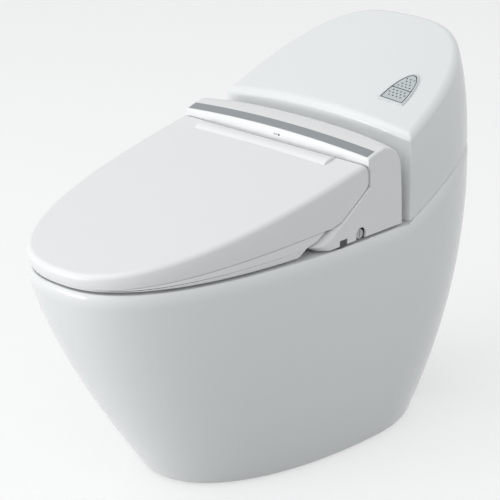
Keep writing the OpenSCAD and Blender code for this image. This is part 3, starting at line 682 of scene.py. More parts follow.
def below_cover():
    """All that lies under the cover's lower edge."""
    s = shape
    ahead = 60
    start = s.tank_front - ahead
    return across(
        [(start, s.rim_h + COVER_GAP - ahead * tan(s.tank_slope)),
         (REAR_END, part_z(REAR_END) + REAR_GAP), (REAR_END, 0), (start, 0)],
        -s.body_w, s.body_w)


# Half width, length and front edge of the shield
BEZEL = (24, 69, -33)
BUTTON_AT = (115, 117)
WELL = 3.5
SPLIT_Y = -2
STEMS = (SPLIT_Y - 16, SPLIT_Y + 14)
STEM_R = 3
BEZEL_TOP = 2.0
BUTTON_TOP = 2.0
BUTTON_GAP = 1.5
FIELD_IN = 3.4
DIMPLE_R = 1.9
DIMPLE_PITCH = 7.0


def at_buttons():
    """Matrix of the place on the cover where the flush buttons lie."""
    s = shape
    x, y = BUTTON_AT
    tilt = atan(8 * s.tank_crown * x / s.body_w ** 2)
    return (Matrix.Translation((x, y, top_z(x, y))) @ Matrix.Rotation(s.tank_slope, 4, "X")
            @ Matrix.Rotation(tilt, 4, "Y"))


def shield(inset, low=-50, high=50, rounding=2.2):
    """Half ellipse with a flat front edge and rounded corners, between two lines."""
    w, l, y0 = BEZEL[0] - inset, BEZEL[1] - 2 * inset, BEZEL[2] + inset
    low = max(low, y0)
    top = min(high, y0 + l)
    side = [(w * sqrt(max(0, 1 - ((y - y0) / l) ** 2)), y) for y in
            [low + (top - low) * sin(a) for a in quarter(41)]]
    outline = side + [(-x, y) for x, y in reversed(side)]
    seen = []
    for p in outline:
        if not seen or hypot(p[0] - seen[-1][0], p[1] - seen[-1][1]) > 0.01:
            seen.append(p)
    return round_corners(seen, rounding)


def round_corners(outline, radius, sharp=50):
    """Rounds the corners of an outline that turn by more than the angle sharp."""
    made = []
    count = len(outline)
    for i, p in enumerate(outline):
        here = Vector(p)
        back = Vector(outline[i - 1]) - here
        ahead = Vector(outline[(i + 1) % count]) - here
        turn = pi - back.angle(ahead)
        if turn < radians(sharp):
            made.append(p)
            continue
        reach = min(radius * tan(turn / 2), back.length * 0.49, ahead.length * 0.49)
        start, end = here + back.normalized() * reach, here + ahead.normalized() * reach
        for k in spread(0, 1, 7):
            q = start * (1 - k) ** 2 + here * 2 * k * (1 - k) + end * k ** 2
            made.append((q.x, q.y))
    return made


def plate(outline, low, high, edge):
    """A flat plate of an outline, with its upper edge rounded by loops drawn in."""
    count = len(outline)
    middle = Vector((0, sum(p[1] for p in outline) / count))
    normals = []
    for i in range(count):
        # square to the line between the two neighbours, and outward
        along = Vector(outline[(i + 1) % count]) - Vector(outline[i - 1])
        side = Vector((along.y, -along.x)).normalized()
        if side.dot(Vector(outline[i]) - middle) < 0:
            side.negate()
        normals.append(side)
    loops = [[(*p, low) for p in outline]]
    for a in quarter(6):
        inset = edge * (1 - cos(a))
        loops.append([
            (p[0] - n.x * inset, p[1] - n.y * inset, high - edge * (1 - sin(a)))
            for p, n in zip(outline, normals)])
    return skin(loops)


def flush_bezel():
    """The shield's frame, with a well for the buttons and holes for their stems."""
    frame_plate = join(
        plate(shield(0, rounding=5), 0.1, BEZEL_TOP, 1.5),
        plate(shield(1.5, rounding=4), -14, 1, 0.1))
    well = plate(shield(WELL, rounding=2), -11, 20, 0.1)
    stems = [upright(0, y, -20, STEM_R + 0.3, 20) for y in STEMS]
    return place(cut(frame_plate, well, *stems), at_buttons())


def dimples(outline, height):
    """Staggered rows of shallow round hollows, inside an outline."""
    made = []
    rows = range(-8, 9)
    deep = DIMPLE_R * 0.5
    for row in rows:
        for column in rows:
            at = Vector(((column + 0.5 * (row % 2)) * DIMPLE_PITCH,
                         SPLIT_Y + row * DIMPLE_PITCH * 0.85))
            if inside(at, outline):
                made.append(skin([
                    [(at.x + DIMPLE_R * cos(a) * cos(t), at.y + DIMPLE_R * cos(a) * sin(t),
                      height + deep + DIMPLE_R * sin(a)) for t in turns(16)]
                    for a in spread(-pi / 2 * 0.97, 0.2, 8)]))
    return made


def inside(at, outline):
    """Whether a point lies inside an outline."""
    hit = False
    for i, (x1, y1) in enumerate(outline):
        x0, y0 = outline[i - 1]
        if (y0 > at.y) != (y1 > at.y):
            hit ^= at.x < x0 + (at.y - y0) * (x1 - x0) / (y1 - y0)
    return hit


def flush_button(low, high, stem_y):
    """A button with dimples between two lines, on its stem."""
    inset = WELL + BUTTON_GAP
    outline = shield(inset, low, high, 2.0)
    field = shield(inset + FIELD_IN, low + FIELD_IN, high - FIELD_IN)
    button = cut(plate(outline, -1.5, BUTTON_TOP, 0.4), *dimples(field, BUTTON_TOP))
    return place(join(button, upright(0, stem_y, -34, STEM_R, 33)), at_buttons())


def below_top(height, inset=None):
    """Whether a face lies under a height of the flush buttons, and inside an inset: the faces
    that get the painted shade.
    """
    back = at_buttons().inverted()
    outline = shield(inset) if inset else None

    def test(middle, normal):
        at = back @ middle
        return at.z < height and (outline is None or inside(at, outline))
    return test


# Bidet unit

# Depth and height above the deck of the arm's upper edge, from the hinge to its tip
SILL = ((-41, 78), (-98.3, 37), (-127, 29), (-147, 18.5), (-163, 14))
FRONT_CORNER = 26
CREST_R = 26
CREST_END_R = 42
FACE_R = 24
# Depth and height above the deck of the point that an inset shrinks the outline to
UNIT_MIDDLE = (-30, 60)


def unit_outline(crest):
    """Side outline of the unit: Y, Z and the share of the crown."""
    s = shape
    top, low, back = s.unit_top, s.unit_low, s.unit_back
    line = [(-142, low, 0), (-100, low, 0), (-60, low, 0), (-10, low, 0), (back, low, 0),
            (back - 3, s.deck + 60, 0)]
    line += [(back - 6 - crest * (1 - cos(a)), top - crest * (1 - sin(a)), sin(a))
             for a in quarter(14)]
    line += [(-15, top - 1.2, 1), (-28, top - 3, 1)]
    for a in spread(110, 190, 9):
        line.append((s.roll[0] + s.roll_r * cos(radians(a)),
                     s.roll[1] + s.roll_r * sin(radians(a)),
                     max(0, sin(radians(a - 10)))))
    y, z = s.hinge
    line += [(y + FACE_R * cos(a), z + FACE_R * sin(a), 0)
             for a in spread(radians(42), radians(8), 8)]
    return line + [(y, s.deck + up, 0) for y, up in SILL]


def unit_loop(x, inset):
    """The side outline at x, with its crown, its rounded front corner and an inset."""
    s = shape
    half = s.unit_w / 2
    crown = 1 - (x / half) ** 2
    over = max(0, abs(x) - half + FRONT_CORNER)
    pull = FRONT_CORNER - sqrt(max(0, FRONT_CORNER ** 2 - over ** 2))
    mid_y, mid_z = UNIT_MIDDLE[0], s.deck + UNIT_MIDDLE[1]
    k = 1 - inset / UNIT_MIDDLE[1]
    loop = []
    for y, z, part in unit_outline(CREST_R + (CREST_END_R - CREST_R) * (x / half) ** 4):
        if y < -100:
            y += pull * min(1, (-100 - y) / 40)
        loop.append((x, mid_y + (y - mid_y) * k,
                     mid_z + (z + s.unit_crown * part * crown - mid_z) * k))
    return loop


def unit_outside():
    half = shape.unit_w / 2
    side = [0, 0.15, 0.4, 0.8, 1.3, 2, 4, 7, 10, 14, 18, 22]
    stations = ([-half + d for d in side] + spread(-half + 27, half - 27, 41)
                + [half - d for d in reversed(side)])
    middle = (shape.unit_back - 29, shape.deck + 54)
    return skin([unit_loop(x, max(0, 2 - half + abs(x)) ** 2 / 2) for x in stations],
                inner=middle)


# Lower and upper edge of the web behind the hinge barrel, as shares of its radius
HUMP_WEB = (-0.8, 0.35)


def hump(inset):
    """The hinge barrel with the web that joins it to the unit's face."""
    s = shape
    y, z = s.hinge
    half = s.hump_w / 2 - inset
    low, high = (z + share * s.hump_r for share in HUMP_WEB)
    return join(
        cross_bar(-half, half, y, z, s.hump_r - inset, 160),
        block((-half, y, low + inset), (half, s.face_y + 3, high - inset)))


def stripe_form(lift):
    """The stripe, standing proud of the unit by a lift."""
    s = shape
    half = s.unit_w / 2
    loops = []
    for x in spread(-half + 5, half - 5, 61):
        crown = s.unit_crown * (1 - (x / half) ** 2)
        front, rear = s.roll[1] + s.roll_r * 0.94 + crown, s.unit_top - 3 + crown
        loops.append([
            (x, -44.5, front - 1.5), (x, -28, rear - 1.5), (x, -28, rear + lift - 0.15),
            (x, -28.3, rear + lift), (x, -36, (front + rear) / 2 + lift + 0.25),
            (x, -44.2, front + lift), (x, -44.5, front + lift - 0.15)])
    return skin(loops)


WAND_OUT = (0, -150, 12)
WAND_TILT = radians(24)
SLEEVE_R, WAND_HOLE_R, WAND_WAY_R = 10.6, 9.1, 11.8


def along_wand(piece):
    """Turns an upright piece along the wand, with its zero at the wand's way out."""
    x, y, up = WAND_OUT
    return place(piece, Matrix.Translation((x, y, shape.deck + up))
                 @ Matrix.Rotation(pi / 2 + WAND_TILT, 4, "X"))


# Release button: middle along Y, width and height above the deck, and how deep it
# reaches. Plug, inlet and gland: place along Y and height above the deck.
PRESS = (-98, 17, 12.7)
GUIDE = 15.5
PLUG = (-60, 11)
INLET, INLET_HOLE_R = (6, 24), 8.1
GLAND, GLAND_HOLE_R = (-22, 20), 5.6
DAMPER_X, DAMPER_HOLE_R = 124, 10.6
# Walls round the two hinge pins: inner and outer radius
PIN_WALL = (5, 16)
# Place along X and width of the two small lenses, and their lower and upper edge
WINDOW, LAMP = (5.5, 8), (12.5, 3)
LENS_Z = (119.8, 122.6)


def inset_outline(outline, inset):
    """An outline drawn in by the same distance on every side."""
    made = []
    count = len(outline)
    for i in range(count):
        back = (Vector(outline[i]) - Vector(outline[i - 1])).normalized()
        ahead = (Vector(outline[(i + 1) % count]) - Vector(outline[i])).normalized()
        side = Vector((-back.y - ahead.y, back.x + ahead.x))
        side = side.normalized() / max(0.35, sqrt((1 + back.dot(ahead)) / 2))
        made.append(tuple(Vector(outline[i]) + side * inset))
    return made


def unit_hollow():
    """The unit's hollow, with the walls about the corners, the button and the pins."""
    s = shape
    w, half = s.unit_wall, s.unit_w / 2
    nose = SILL[1][0]
    outline = [(nose, s.unit_low)]
    outline += [(y, z) for y, z, _ in unit_outline(CREST_END_R) if y >= nose]
    inner = across(inset_outline(outline, w), -half + w, half - w)
    inner = join(inner, block(
        (-half + w, -134, s.unit_low - 5), (half - w, s.unit_back - w, s.unit_low + 2 * w)))
    corner = block((half - FRONT_CORNER - w, -200, 0), (half, -118, 500))
    front, wide, up = PRESS
    guide = block((half - GUIDE - w, front - wide / 2 - w, 0),
                  (half + 20, front + wide / 2 + w, s.deck + up + w))
    end = s.hump_w / 2
    ring = cut(cross_bar(end - 6, end, *s.hinge, PIN_WALL[1]),
               cross_bar(end - 7, end + 1, *s.hinge, PIN_WALL[0]))
    return cut(inner, both(corner), guide, both(ring))


def lens_seat(x, w):
    """The seat of a lens in the unit's upper edge."""
    s = shape
    y = s.roll[0] - s.roll_r
    low, high = (s.deck + up for up in LENS_Z)
    return block((x - w / 2, y - 3, low), (x + w / 2, y + 1, high))


def plug_opening(grow):
    """The arched opening round the drain plug."""
    half = shape.unit_w / 2
    y, up = PLUG
    z = shape.deck + up
    r = 7.5 + grow
    outline = [(y + r, shape.unit_low - 5)]
    outline += [(y + r * cos(a), z + r * sin(a)) for a in spread(0, pi, 25)]
    outline += [(y - r, shape.unit_low - 5)]
    return across(outline, half - 12, half + 5)


def unit_cover():
    """The unit's shell with its barrel, its stripe's bed and all its openings."""
    s = shape
    half = s.unit_w / 2
    shell = join(
        unit_outside(), hump(0), along_wand(upright(0, 0, -100, SLEEVE_R, 96)))
    y, z = s.hinge
    solid_parts = [
        both(block((low, y - 40, z - 40), (high, y + 40, z + 40)))
        for low, high in ((s.hump_w / 2 - 8, s.hump_w / 2 + 2), (36, 40))]
    pocket = cut(hump(s.unit_wall), *solid_parts)
    sockets = [cross_bar(-half - 1, -half + 6, depth, s.deck + up, radius)
               for (depth, up), radius in ((INLET, INLET_HOLE_R), (GLAND, GLAND_HOLE_R))]
    front, wide, up = PRESS
    return cut(
        shell, unit_hollow(), pocket, stripe_form(3),
        block((-WIDE, -250, s.deck - 10), (WIDE, 50, s.unit_low)),
        lens_seat(*WINDOW), lens_seat(*LAMP),
        cross_bar(-s.hump_w / 2 - 1, s.hump_w / 2 + 1, y, z, s.pin_r + 0.1),
        cross_bar(-DAMPER_X, DAMPER_X, y, z, DAMPER_HOLE_R),
        along_wand(upright(0, 0, -170, WAND_HOLE_R, 200)),
        plug_opening(3), *sockets,
        block((half - GUIDE, front - wide / 2, s.unit_low - 5),
              (half + 25, front + wide / 2, s.deck + up)))


def turned(profile, low):
    """A form turned about X: pairs of distance along X and radius."""
    y, up = PLUG
    return skin([
        [(low + d, y + r * cos(t), shape.deck + up + r * sin(t)) for t in turns(72)]
        for d, r in profile])


# Distance from the plug's inner end, and radius
PLUG_PROFILE = ((0, 4.5), (22.4, 4.5), (22.4, 7.5), (30.6, 7.5), (31.4, 7.3), (32, 6.7),
                (32, 5.6), (31.2, 5.4))


def drain_plug():
    """The plug, with a slot across its face."""
    half = shape.unit_w / 2
    y, up = PLUG
    z = shape.deck + up
    slot = block((half - 4.5, y - 1, z - 5), (half + 1, y + 1, z + 5))
    return cut(turned(PLUG_PROFILE, half - 34), slot)


def release_button():
    """The button that frees the unit, with three grooves across it."""
    front, wide, up = PRESS
    low = shape.unit_w / 2 - GUIDE + 3.5
    y0, y1 = front - wide / 2 + 0.4, front + wide / 2 - 0.4
    z0, z1 = shape.deck + 0.8, shape.deck + up - 0.4
    outline = round_corners([(y0, z0), (y1, z0), (y1, z1), (y0, z1)], 1.2)
    button = across(outline, low, low + 10.5)
    ribs = [block((low + 10.1, y, z0 + 2.6), (low + 12, y + 0.9, z1 - 2.6))
            for y in (front - 3.4, front - 0.45, front + 2.5)]
    return cut(button, *ribs)


# Lid and seat

LID_CENTRE = -58
LID_POWER = 2.48
LID_REAR, LID_REAR_POWER = 24, 20
# The lid's lower edge: height at the nose, rise, run and power of the rise
LID_LOW, LID_RISE, LID_RISE_RUN, LID_RISE_POWER = 5.5, 28, 385, 1.5
LID_EDGE_R = 7
LID_CORNER_R = 21
LID_CROWN = 3
NOTCH_W = 2.4
LID_STEPS = 288


def lid_low(y):
    """Height of the lid's lower edge, which rises to the rear."""
    u = min(1, max(0, (y + shape.lid_nose) / LID_RISE_RUN))
    return shape.deck + LID_LOW + LID_RISE * (1 - (1 - u) ** LID_RISE_POWER)


def lid_top(x, y):
    s = shape
    return (s.deck + s.lid_nose_h + (y + s.lid_nose) * tan(s.lid_slope)
            + LID_CROWN * (1 - (2 * x / s.lid_w) ** 2))


def lid_point(t, side_in, nose_in):
    s = shape
    return loop_point(
        t, s.lid_w / 2 - side_in, LID_CENTRE, s.lid_nose + LID_CENTRE - nose_in, LID_POWER,
        LID_CENTRE, LID_REAR, LID_REAR_POWER)


def lid_loop(share, inset, drop):
    """A loop at a share of the height between the lid's lower edge and its top."""
    loop = []
    for t in turns(LID_STEPS):
        x, y = lid_point(t, inset, inset)
        low = lid_low(y)
        loop.append((x, y, low + share * (lid_top(x, y) - drop - low)))
    return loop


def lid_solid(inset, radius, foot):
    """The lid's outside, or its inside where it is drawn in, with a foot below it."""
    loops = [lid_loop(-foot, inset + 3, 0)] if foot else []
    loops += [lid_loop(s, inset + 3 * (1 - s) ** 2, radius) for s in spread(0, 0.92, 10)]
    loops += rolled(lid_loop, inset, radius, 12)
    loops += [lid_loop(1, inset + radius + i * 9, inset) for i in range(1, 11)]
    return skin(loops)


def lid_side():
    """Side outline that the lid fills: its rear corners follow the unit's arms."""
    s = shape
    y, z = s.hinge
    line = [(-700, 300), (-114, 300), (-113.5, s.deck + 34), (-98.3, s.deck + 38.6),
            (y + 15, s.deck + 74), (y + 20.5, s.deck + 80), (y + 22, s.deck + 86)]
    line += [(y + LID_CORNER_R * cos(a), z + LID_CORNER_R * sin(a))
             for a in spread(0, radians(86), 20)]
    return line + [(y, 700), (-700, 700)]


# The seat's ears lie between these two places along X, with the lid clear of them
EARS = (139.5, 150)
EAR_R = 11
EAR_GAP = 0.8
BOSS_R = 12
PIN_GAP = 0.05
PIN_REACH = 170


def pin_bore():
    y, z = shape.hinge
    return cross_bar(-PIN_REACH, PIN_REACH, y, z, shape.pin_r + PIN_GAP)


def lid_hollow():
    """The lid's hollow, which leaves walls about the barrel and the rear corners."""
    s = shape
    y, z = s.hinge
    w = s.lid_wall
    wide = s.lid_w / 2 + 10
    side = join(across(inset_outline(lid_side(), w), -wide, wide),
                block((-wide, -700, 200), (wide, -112, 430)))
    corner = block((s.bay, y - 24, 300), (s.bay + w, y + 36, 600))
    return cut(
        common(lid_solid(w, LID_EDGE_R - w, 1), side),
        cross_bar(-s.hump_w / 2 - 1, s.hump_w / 2 + 1, y, z, s.hump_r + 1 + w, 144),
        both(corner))


def lid():
    """The lid with its bay round the hinge barrel and its bosses on the pins."""
    s = shape
    y, z = s.hinge
    bay = s.bay
    wide = s.lid_w / 2 + 10
    form = common(lid_solid(0, LID_EDGE_R, 0), across(lid_side(), -wide, wide))
    form = cut(
        form, lid_hollow(),
        cross_bar(-bay, bay, y, z, s.hump_r + 1, 160),
        block((-bay, y, 200), (bay, y + 100, 600)),
        block((-bay - NOTCH_W, y + 9, z), (bay + NOTCH_W, y + 100, 600)),
        block((-bay, y - 70, z - 68), (bay, y + 20, z - 8)))
    near, far = EARS[0] - EAR_GAP, EARS[1] + EAR_GAP
    form = join(form, both(cross_bar(far, s.lid_w / 2 - 2, y, z, BOSS_R)))
    wedge = [(y, z)] + [(y + 90 * cos(radians(a)), z + 90 * sin(radians(a)))
                        for a in spread(212, 356, 19)]
    return cut(
        form, both(across(wedge, near, far)),
        both(cross_bar(near, far, y, z, EAR_R + 1)), pin_bore())


SEAT_UP = 4
SEAT_SPLIT = 0.42
SPLIT_GAP = 0.4
SEAT_RISE = 7
# How far the seat lies inside the lid: under it, at the sides and at the nose
UNDER_LID, SIDE_IN, NOSE_IN = 1.9, 1.5, 2.5
# Half width, middle, reach to the front and to the rear, and power of the seat's hole
HOLE_W, HOLE_Y, HOLE_FRONT, HOLE_REAR, HOLE_POWER = 106, -300, 118, 112, 2.3


def seat_low(y=0):
    """Height of the seat's underside, the same for each y."""
    return shape.deck + SEAT_UP


def seat_split(y):
    """Height of the seam between the seat's two shells."""
    return seat_low() + (lid_low(y) - seat_low()) * SEAT_SPLIT


def seat_belly(y):
    return (seat_low() + seat_split(y)) / 2


def seat_edge(y):
    return lid_low(y) - UNDER_LID


def seat_out(t, inset):
    return lid_point(t, SIDE_IN + inset, NOSE_IN + inset)


def seat_hole(t, grow):
    return loop_point(t, HOLE_W + grow, HOLE_Y, HOLE_FRONT + grow, HOLE_POWER,
                      HOLE_Y, HOLE_REAR + grow, HOLE_POWER)


def seat_ring(rows):
    """A ring from rows of edge function, inset, height function and rise above it."""
    return ring_skin([
        [(*edge(t, inset), height(edge(t, inset)[1]) + up) for t in turns(LID_STEPS)]
        for edge, inset, height, up in rows])


def smooth_rows(rows, count):
    """More rows between the given ones, along a smooth curve."""
    made = []
    total = len(rows)
    for i, row in enumerate(rows):
        before, following, after = rows[i - 1], rows[(i + 1) % total], rows[(i + 2) % total]
        if following[0] is not row[0]:
            made.append(row)
            continue
        if before[0] is not row[0]:
            before = row
        if after[0] is not row[0]:
            after = following
        made += [between(before, row, following, after, k / count) for k in range(count)]
    return made


def between(p, a, b, q, k):
    """A row on the curve from a to b, with p before and q after."""
    weights = (
        -0.5 * k ** 3 + k ** 2 - 0.5 * k, 1.5 * k ** 3 - 2.5 * k ** 2 + 1,
        -1.5 * k ** 3 + 2 * k ** 2 + 0.5 * k, 0.5 * k ** 3 - 0.5 * k ** 2)
    rows = (p, a, b, q)
    inset = sum(w * r[1] for w, r in zip(weights, rows))
    return a[0], inset, lambda y: sum(w * (r[2](y) + r[3]) for w, r in zip(weights, rows)), 0


def seat_back_limit():
    """Side outline that the seat fills: its rear end slants under the unit's arms."""
    slant = [(-184, SEAT_UP), (-168, 16.5), (-149, 21.5), (-131, 32), (-116.5, 36.3)]
    return across(
        [(-700, 200), (slant[0][0], 200)] + [(y, shape.deck + up) for y, up in slant]
        + [(slant[-1][0], 700), (-700, 700)], -250, 250)


LOWER_ROWS = (
    (seat_out, 5.6, seat_low, 0), (seat_out, 4.2, seat_low, 0.5),
    (seat_out, 3.2, seat_low, 1.6), (seat_out, 2.5, seat_belly, 0),
    (seat_out, 2, seat_split, -2 * SPLIT_GAP), (seat_out, 2.4, seat_split, -SPLIT_GAP),
    (seat_hole, 1, seat_split, -SPLIT_GAP), (seat_hole, 5, seat_low, 0))
UPPER_ROWS = (
    (seat_out, 2.4, seat_split, SPLIT_GAP), (seat_out, 2, seat_split, 2 * SPLIT_GAP),
    (seat_out, 2.2, seat_edge, -0.4), (seat_out, 3.4, seat_edge, 0.6),
    (seat_out, 9.5, seat_edge, 0.3 * SEAT_RISE), (seat_out, 22, seat_edge, 0.8 * SEAT_RISE),
    (seat_out, 34, seat_edge, 0.84 * SEAT_RISE), (seat_hole, 40, seat_edge, 0.6 * SEAT_RISE),
    (seat_hole, 26, seat_edge, 0.3 * SEAT_RISE), (seat_hole, 5, seat_edge, -0.6 * SEAT_RISE),
    (seat_hole, 0, seat_split, 3), (seat_hole, 1, seat_split, SPLIT_GAP))


def seat_bottom():
    """The seat's lower shell, with a channel for the wand."""
    deck = shape.deck
    return cut(common(seat_ring(LOWER_ROWS), seat_back_limit()),
               block((-9.5, -210, deck), (9.5, -150, deck + 12.6)))


def seat_top():
    """The seat's upper shell, with its ears on the hinge pins."""
    s = shape
    y, z = s.hinge
    ring = common(seat_ring(smooth_rows(UPPER_ROWS, 4)), seat_back_limit())
    foot = [(y - 3, z - 10.5), (y - 10.5, z + 3), (-150, s.deck + 40), (-150, s.deck + 24),
            (-128, s.deck + 30)]
    ear = join(cross_bar(*EARS, y, z, EAR_R), across(foot, *EARS))
    return cut(
        join(ring, both(ear)), pin_bore(),
        along_wand(upright(0, 0, -60, WAND_WAY_R, 70)))


# Node groups: effects that several finishes share


def new_group(name, inputs, outputs):
    """A shader node group with inputs by name and value, and named outputs."""
    group = bpy.data.node_groups.new(name, "ShaderNodeTree")
    for label, value in inputs.items():
        kind = "NodeSocketColor" if isinstance(value, tuple) else "NodeSocketFloat"
        socket = group.interface.new_socket(name=label, in_out="INPUT", socket_type=kind)
        socket.default_value = value
    for label in outputs:
        kind = "NodeSocketColor" if label == "Color" else "NodeSocketFloat"
        group.interface.new_socket(name=label, in_out="OUTPUT", socket_type=kind)
    start = group.nodes.new("NodeGroupInput")
    end = group.nodes.new("NodeGroupOutput")
    return group, start.outputs, end.inputs


def wire(tree, source, target):
    tree.links.new(source, target)


def feed(tree, value, socket):
    """Gives a socket a number, or wires the output of another node to it."""
    if isinstance(value, (int, float)):
        socket.default_value = value
    else:
        wire(tree, value, socket)


def math_node(tree, how, first, second):
    node = tree.nodes.new("ShaderNodeMath")
    node.operation = how
    feed(tree, first, node.inputs[0])
    feed(tree, second, node.inputs[1])
    return node.outputs[0]


def times(tree, first, second):
    return math_node(tree, "MULTIPLY", first, second)


def plus(tree, first, second):
    return math_node(tree, "ADD", first, second)


def noise(tree, scale, detail, stretch=None):
    """Noise over the object's own coordinates."""
    texture = tree.nodes.new("ShaderNodeTexNoise")
    texture.inputs["Detail"].default_value = detail
    where = tree.nodes.new("ShaderNodeTexCoord").outputs["Object"]
    if stretch:
        mapping = tree.nodes.new("ShaderNodeMapping")
        mapping.inputs["Scale"].default_value = stretch
        wire(tree, where, mapping.inputs["Vector"])
        where = mapping.outputs["Vector"]
    wire(tree, where, texture.inputs["Vector"])
    feed(tree, scale, texture.inputs["Scale"])
    return texture.outputs["Fac"]


def tone_group():
    """Colour and roughness that drift a little over the surface."""
    tree, given, made = new_group(
        "Surface tone",
        {"Color": (0.8, 0.8, 0.8, 1), "Roughness": 0.3, "Drift": 0.03, "Patch Scale": 9.0,
         "Haze": 0.03}, ("Color", "Roughness"))
    patch = noise(tree, given["Patch Scale"], 3)
    fine = noise(tree, 140, 2)
    drift = times(tree, math_node(tree, "SUBTRACT", patch, 0.5), given["Drift"])
    bright = tree.nodes.new("ShaderNodeHueSaturation")
    wire(tree, plus(tree, drift, 1.0), bright.inputs["Value"])
    wire(tree, given["Color"], bright.inputs["Color"])
    wire(tree, bright.outputs["Color"], made["Color"])
    haze = times(tree, plus(tree, patch, fine), given["Haze"])
    wire(tree, plus(tree, given["Roughness"], haze), made["Roughness"])
    return tree


def glaze_group():
    """The slow ripple and the fine pits of a fired glaze."""
    tree, given, made = new_group(
        "Glaze ripple", {"Ripple Scale": 26.0, "Ripple": 1.0, "Pits": 0.15}, ("Height",))
    ripple = times(tree, noise(tree, given["Ripple Scale"], 1), given["Ripple"])
    pits = times(tree, noise(tree, 420, 2), given["Pits"])
    wire(tree, plus(tree, ripple, pits), made["Height"])
    return tree


def grain_group():
    """The fine even grain that a moulding tool leaves on plastic."""
    tree, given, made = new_group(
        "Moulded grain", {"Grain Scale": 700.0, "Grain": 1.0, "Flow": 0.5}, ("Height",))
    grain = times(tree, noise(tree, given["Grain Scale"], 2), given["Grain"])
    flow = times(tree, noise(tree, 18, 2), given["Flow"])
    wire(tree, plus(tree, grain, flow), made["Height"])
    return tree


def brushed_group():
    """Fine lines along X, as on drawn or brushed metal."""
    tree, given, made = new_group(
        "Brushed lines", {"Line Scale": 500.0, "Depth": 1.0}, ("Height",))
    lines = noise(tree, given["Line Scale"], 2, (0.02, 1, 1))
    wire(tree, times(tree, lines, given["Depth"]), made["Height"])
    return tree


def grime_group():
    """Faint specks of dust over the colour."""
    tree, given, made = new_group(
        "Settled dust",
        {"Color": (0.8, 0.8, 0.8, 1), "Dust": (0.5, 0.49, 0.46, 1), "Amount": 0.03},
        ("Color",))
    speck = noise(tree, 60, 4)
    ramp = tree.nodes.new("ShaderNodeValToRGB")
    ramp.color_ramp.elements[0].position = 0.45
    ramp.color_ramp.elements[1].position = 0.75
    wire(tree, speck, ramp.inputs["Fac"])
    mix = tree.nodes.new("ShaderNodeMix")
    mix.data_type = "RGBA"
    wire(tree, times(tree, ramp.outputs["Color"], given["Amount"]),
         mix.inputs["Factor"])
    wire(tree, given["Color"], mix.inputs["A"])
    wire(tree, given["Dust"], mix.inputs["B"])
    wire(tree, mix.outputs["Result"], made["Color"])
    return tree


GROUP_MAKERS = {
    "Surface tone": tone_group, "Glaze ripple": glaze_group, "Moulded grain": grain_group,
    "Brushed lines": brushed_group, "Settled dust": grime_group}


def give(node, values):
    """Gives values to a node's inputs, whose names have spaces for underscores."""
    for label, value in values.items():
        node.inputs[label.replace("_", " ")].default_value = value


def use_group(tree, name, **values):
    """Places a shared node group in a material with its own values."""
    node = tree.nodes.new("ShaderNodeGroup")
    node.node_tree = bpy.data.node_groups.get(name) or GROUP_MAKERS[name]()
    give(node, values)
    return node


class Finish:
    """A material in the making: a Principled shader with colour, roughness and relief."""

    def __init__(self, name):
        self.material = bpy.data.materials.new(name)
        self.material.use_nodes = True
        self.tree = self.material.node_tree
        self.shader = self.tree.nodes["Principled BSDF"]

    def set(self, **values):
        give(self.shader, values)
        return self

    def tone(self, colour, roughness, drift=0.03, patch=9.0, haze=0.03, dust=0.0):
        node = use_group(
            self.tree, "Surface tone", Color=(*colour, 1), Roughness=roughness,
            Drift=drift, Patch_Scale=patch, Haze=haze)
        shade = node.outputs["Color"]
        if dust:
            settled = use_group(self.tree, "Settled dust", Amount=dust)
            wire(self.tree, shade, settled.inputs["Color"])
            shade = settled.outputs["Color"]
        wire(self.tree, shade, self.shader.inputs["Base Color"])
        wire(self.tree, node.outputs["Roughness"], self.shader.inputs["Roughness"])
        return self

    def relief(self, group, strength, distance, **values):
        node = use_group(self.tree, group, **values)
        bump = self.tree.nodes.new("ShaderNodeBump")
        give(bump, {"Strength": strength, "Distance": distance * MM})
        wire(self.tree, node.outputs["Height"], bump.inputs["Height"])
        wire(self.tree, bump.outputs["Normal"], self.shader.inputs["Normal"])
        return self


def finished(name, make):
    """The material of that name, made the first time it is asked for."""
    return bpy.data.materials.get(name) or make(Finish(name)).material


def looks():
    """The settings of the finishes."""
    return bpy.context.scene.toilet_finish


def glazed_clay():
    return finished("Glazed clay", lambda f: f.tone(
        looks().glaze, looks().glaze_gloss, 0.012, 5, 0.01, dust=0.01)
        .relief("Glaze ripple", 0.1, 0.2)
        .set(Coat_Weight=0.25, Coat_Roughness=0.12, IOR=1.5))


def gloss_plastic():
    return finished("Gloss plastic", lambda f: f.tone(
        looks().shell, looks().shell_gloss, 0.01, 7, 0.004)
        .relief("Moulded grain", 0.03, 0.01, Grain=0.3, Flow=2.0)
        .set(IOR=1.5))


def matt_plastic(name, colour, roughness=0.45, grain=0.4, drift=0.03):
    """Moulded plastic with a visible grain."""
    return finished(name, lambda f: f.tone(colour, roughness, drift, 12, 0.05, dust=0.02)
                    .relief("Moulded grain", grain, 0.08))


def metal(name, colour, roughness, lines=0.3):
    return finished(name, lambda f: f.tone(colour, roughness, 0.05, 20, 0.08)
                    .relief("Brushed lines", lines, 0.04).set(Metallic=1.0))


def rubber(name, colour):
    return finished(name, lambda f: f.tone(colour, 0.62, 0.06, 24, 0.06, dust=0.05)
                    .relief("Moulded grain", 0.5, 0.1, Grain_Scale=420.0)
                    .set(Specular_IOR_Level=0.3))


def lens(name, colour):
    return finished(name, lambda f: f.tone(colour, 0.12, 0.02, 60, 0.02)
                    .relief("Moulded grain", 0.1, 0.02).set(Coat_Weight=0.5))


def stripe_finish():
    return finished("Satin stripe", lambda f: f.tone(looks().stripe, 0.34, 0.02, 14, 0.05)
                    .relief("Brushed lines", 0.25, 0.05).set(Metallic=0.35))


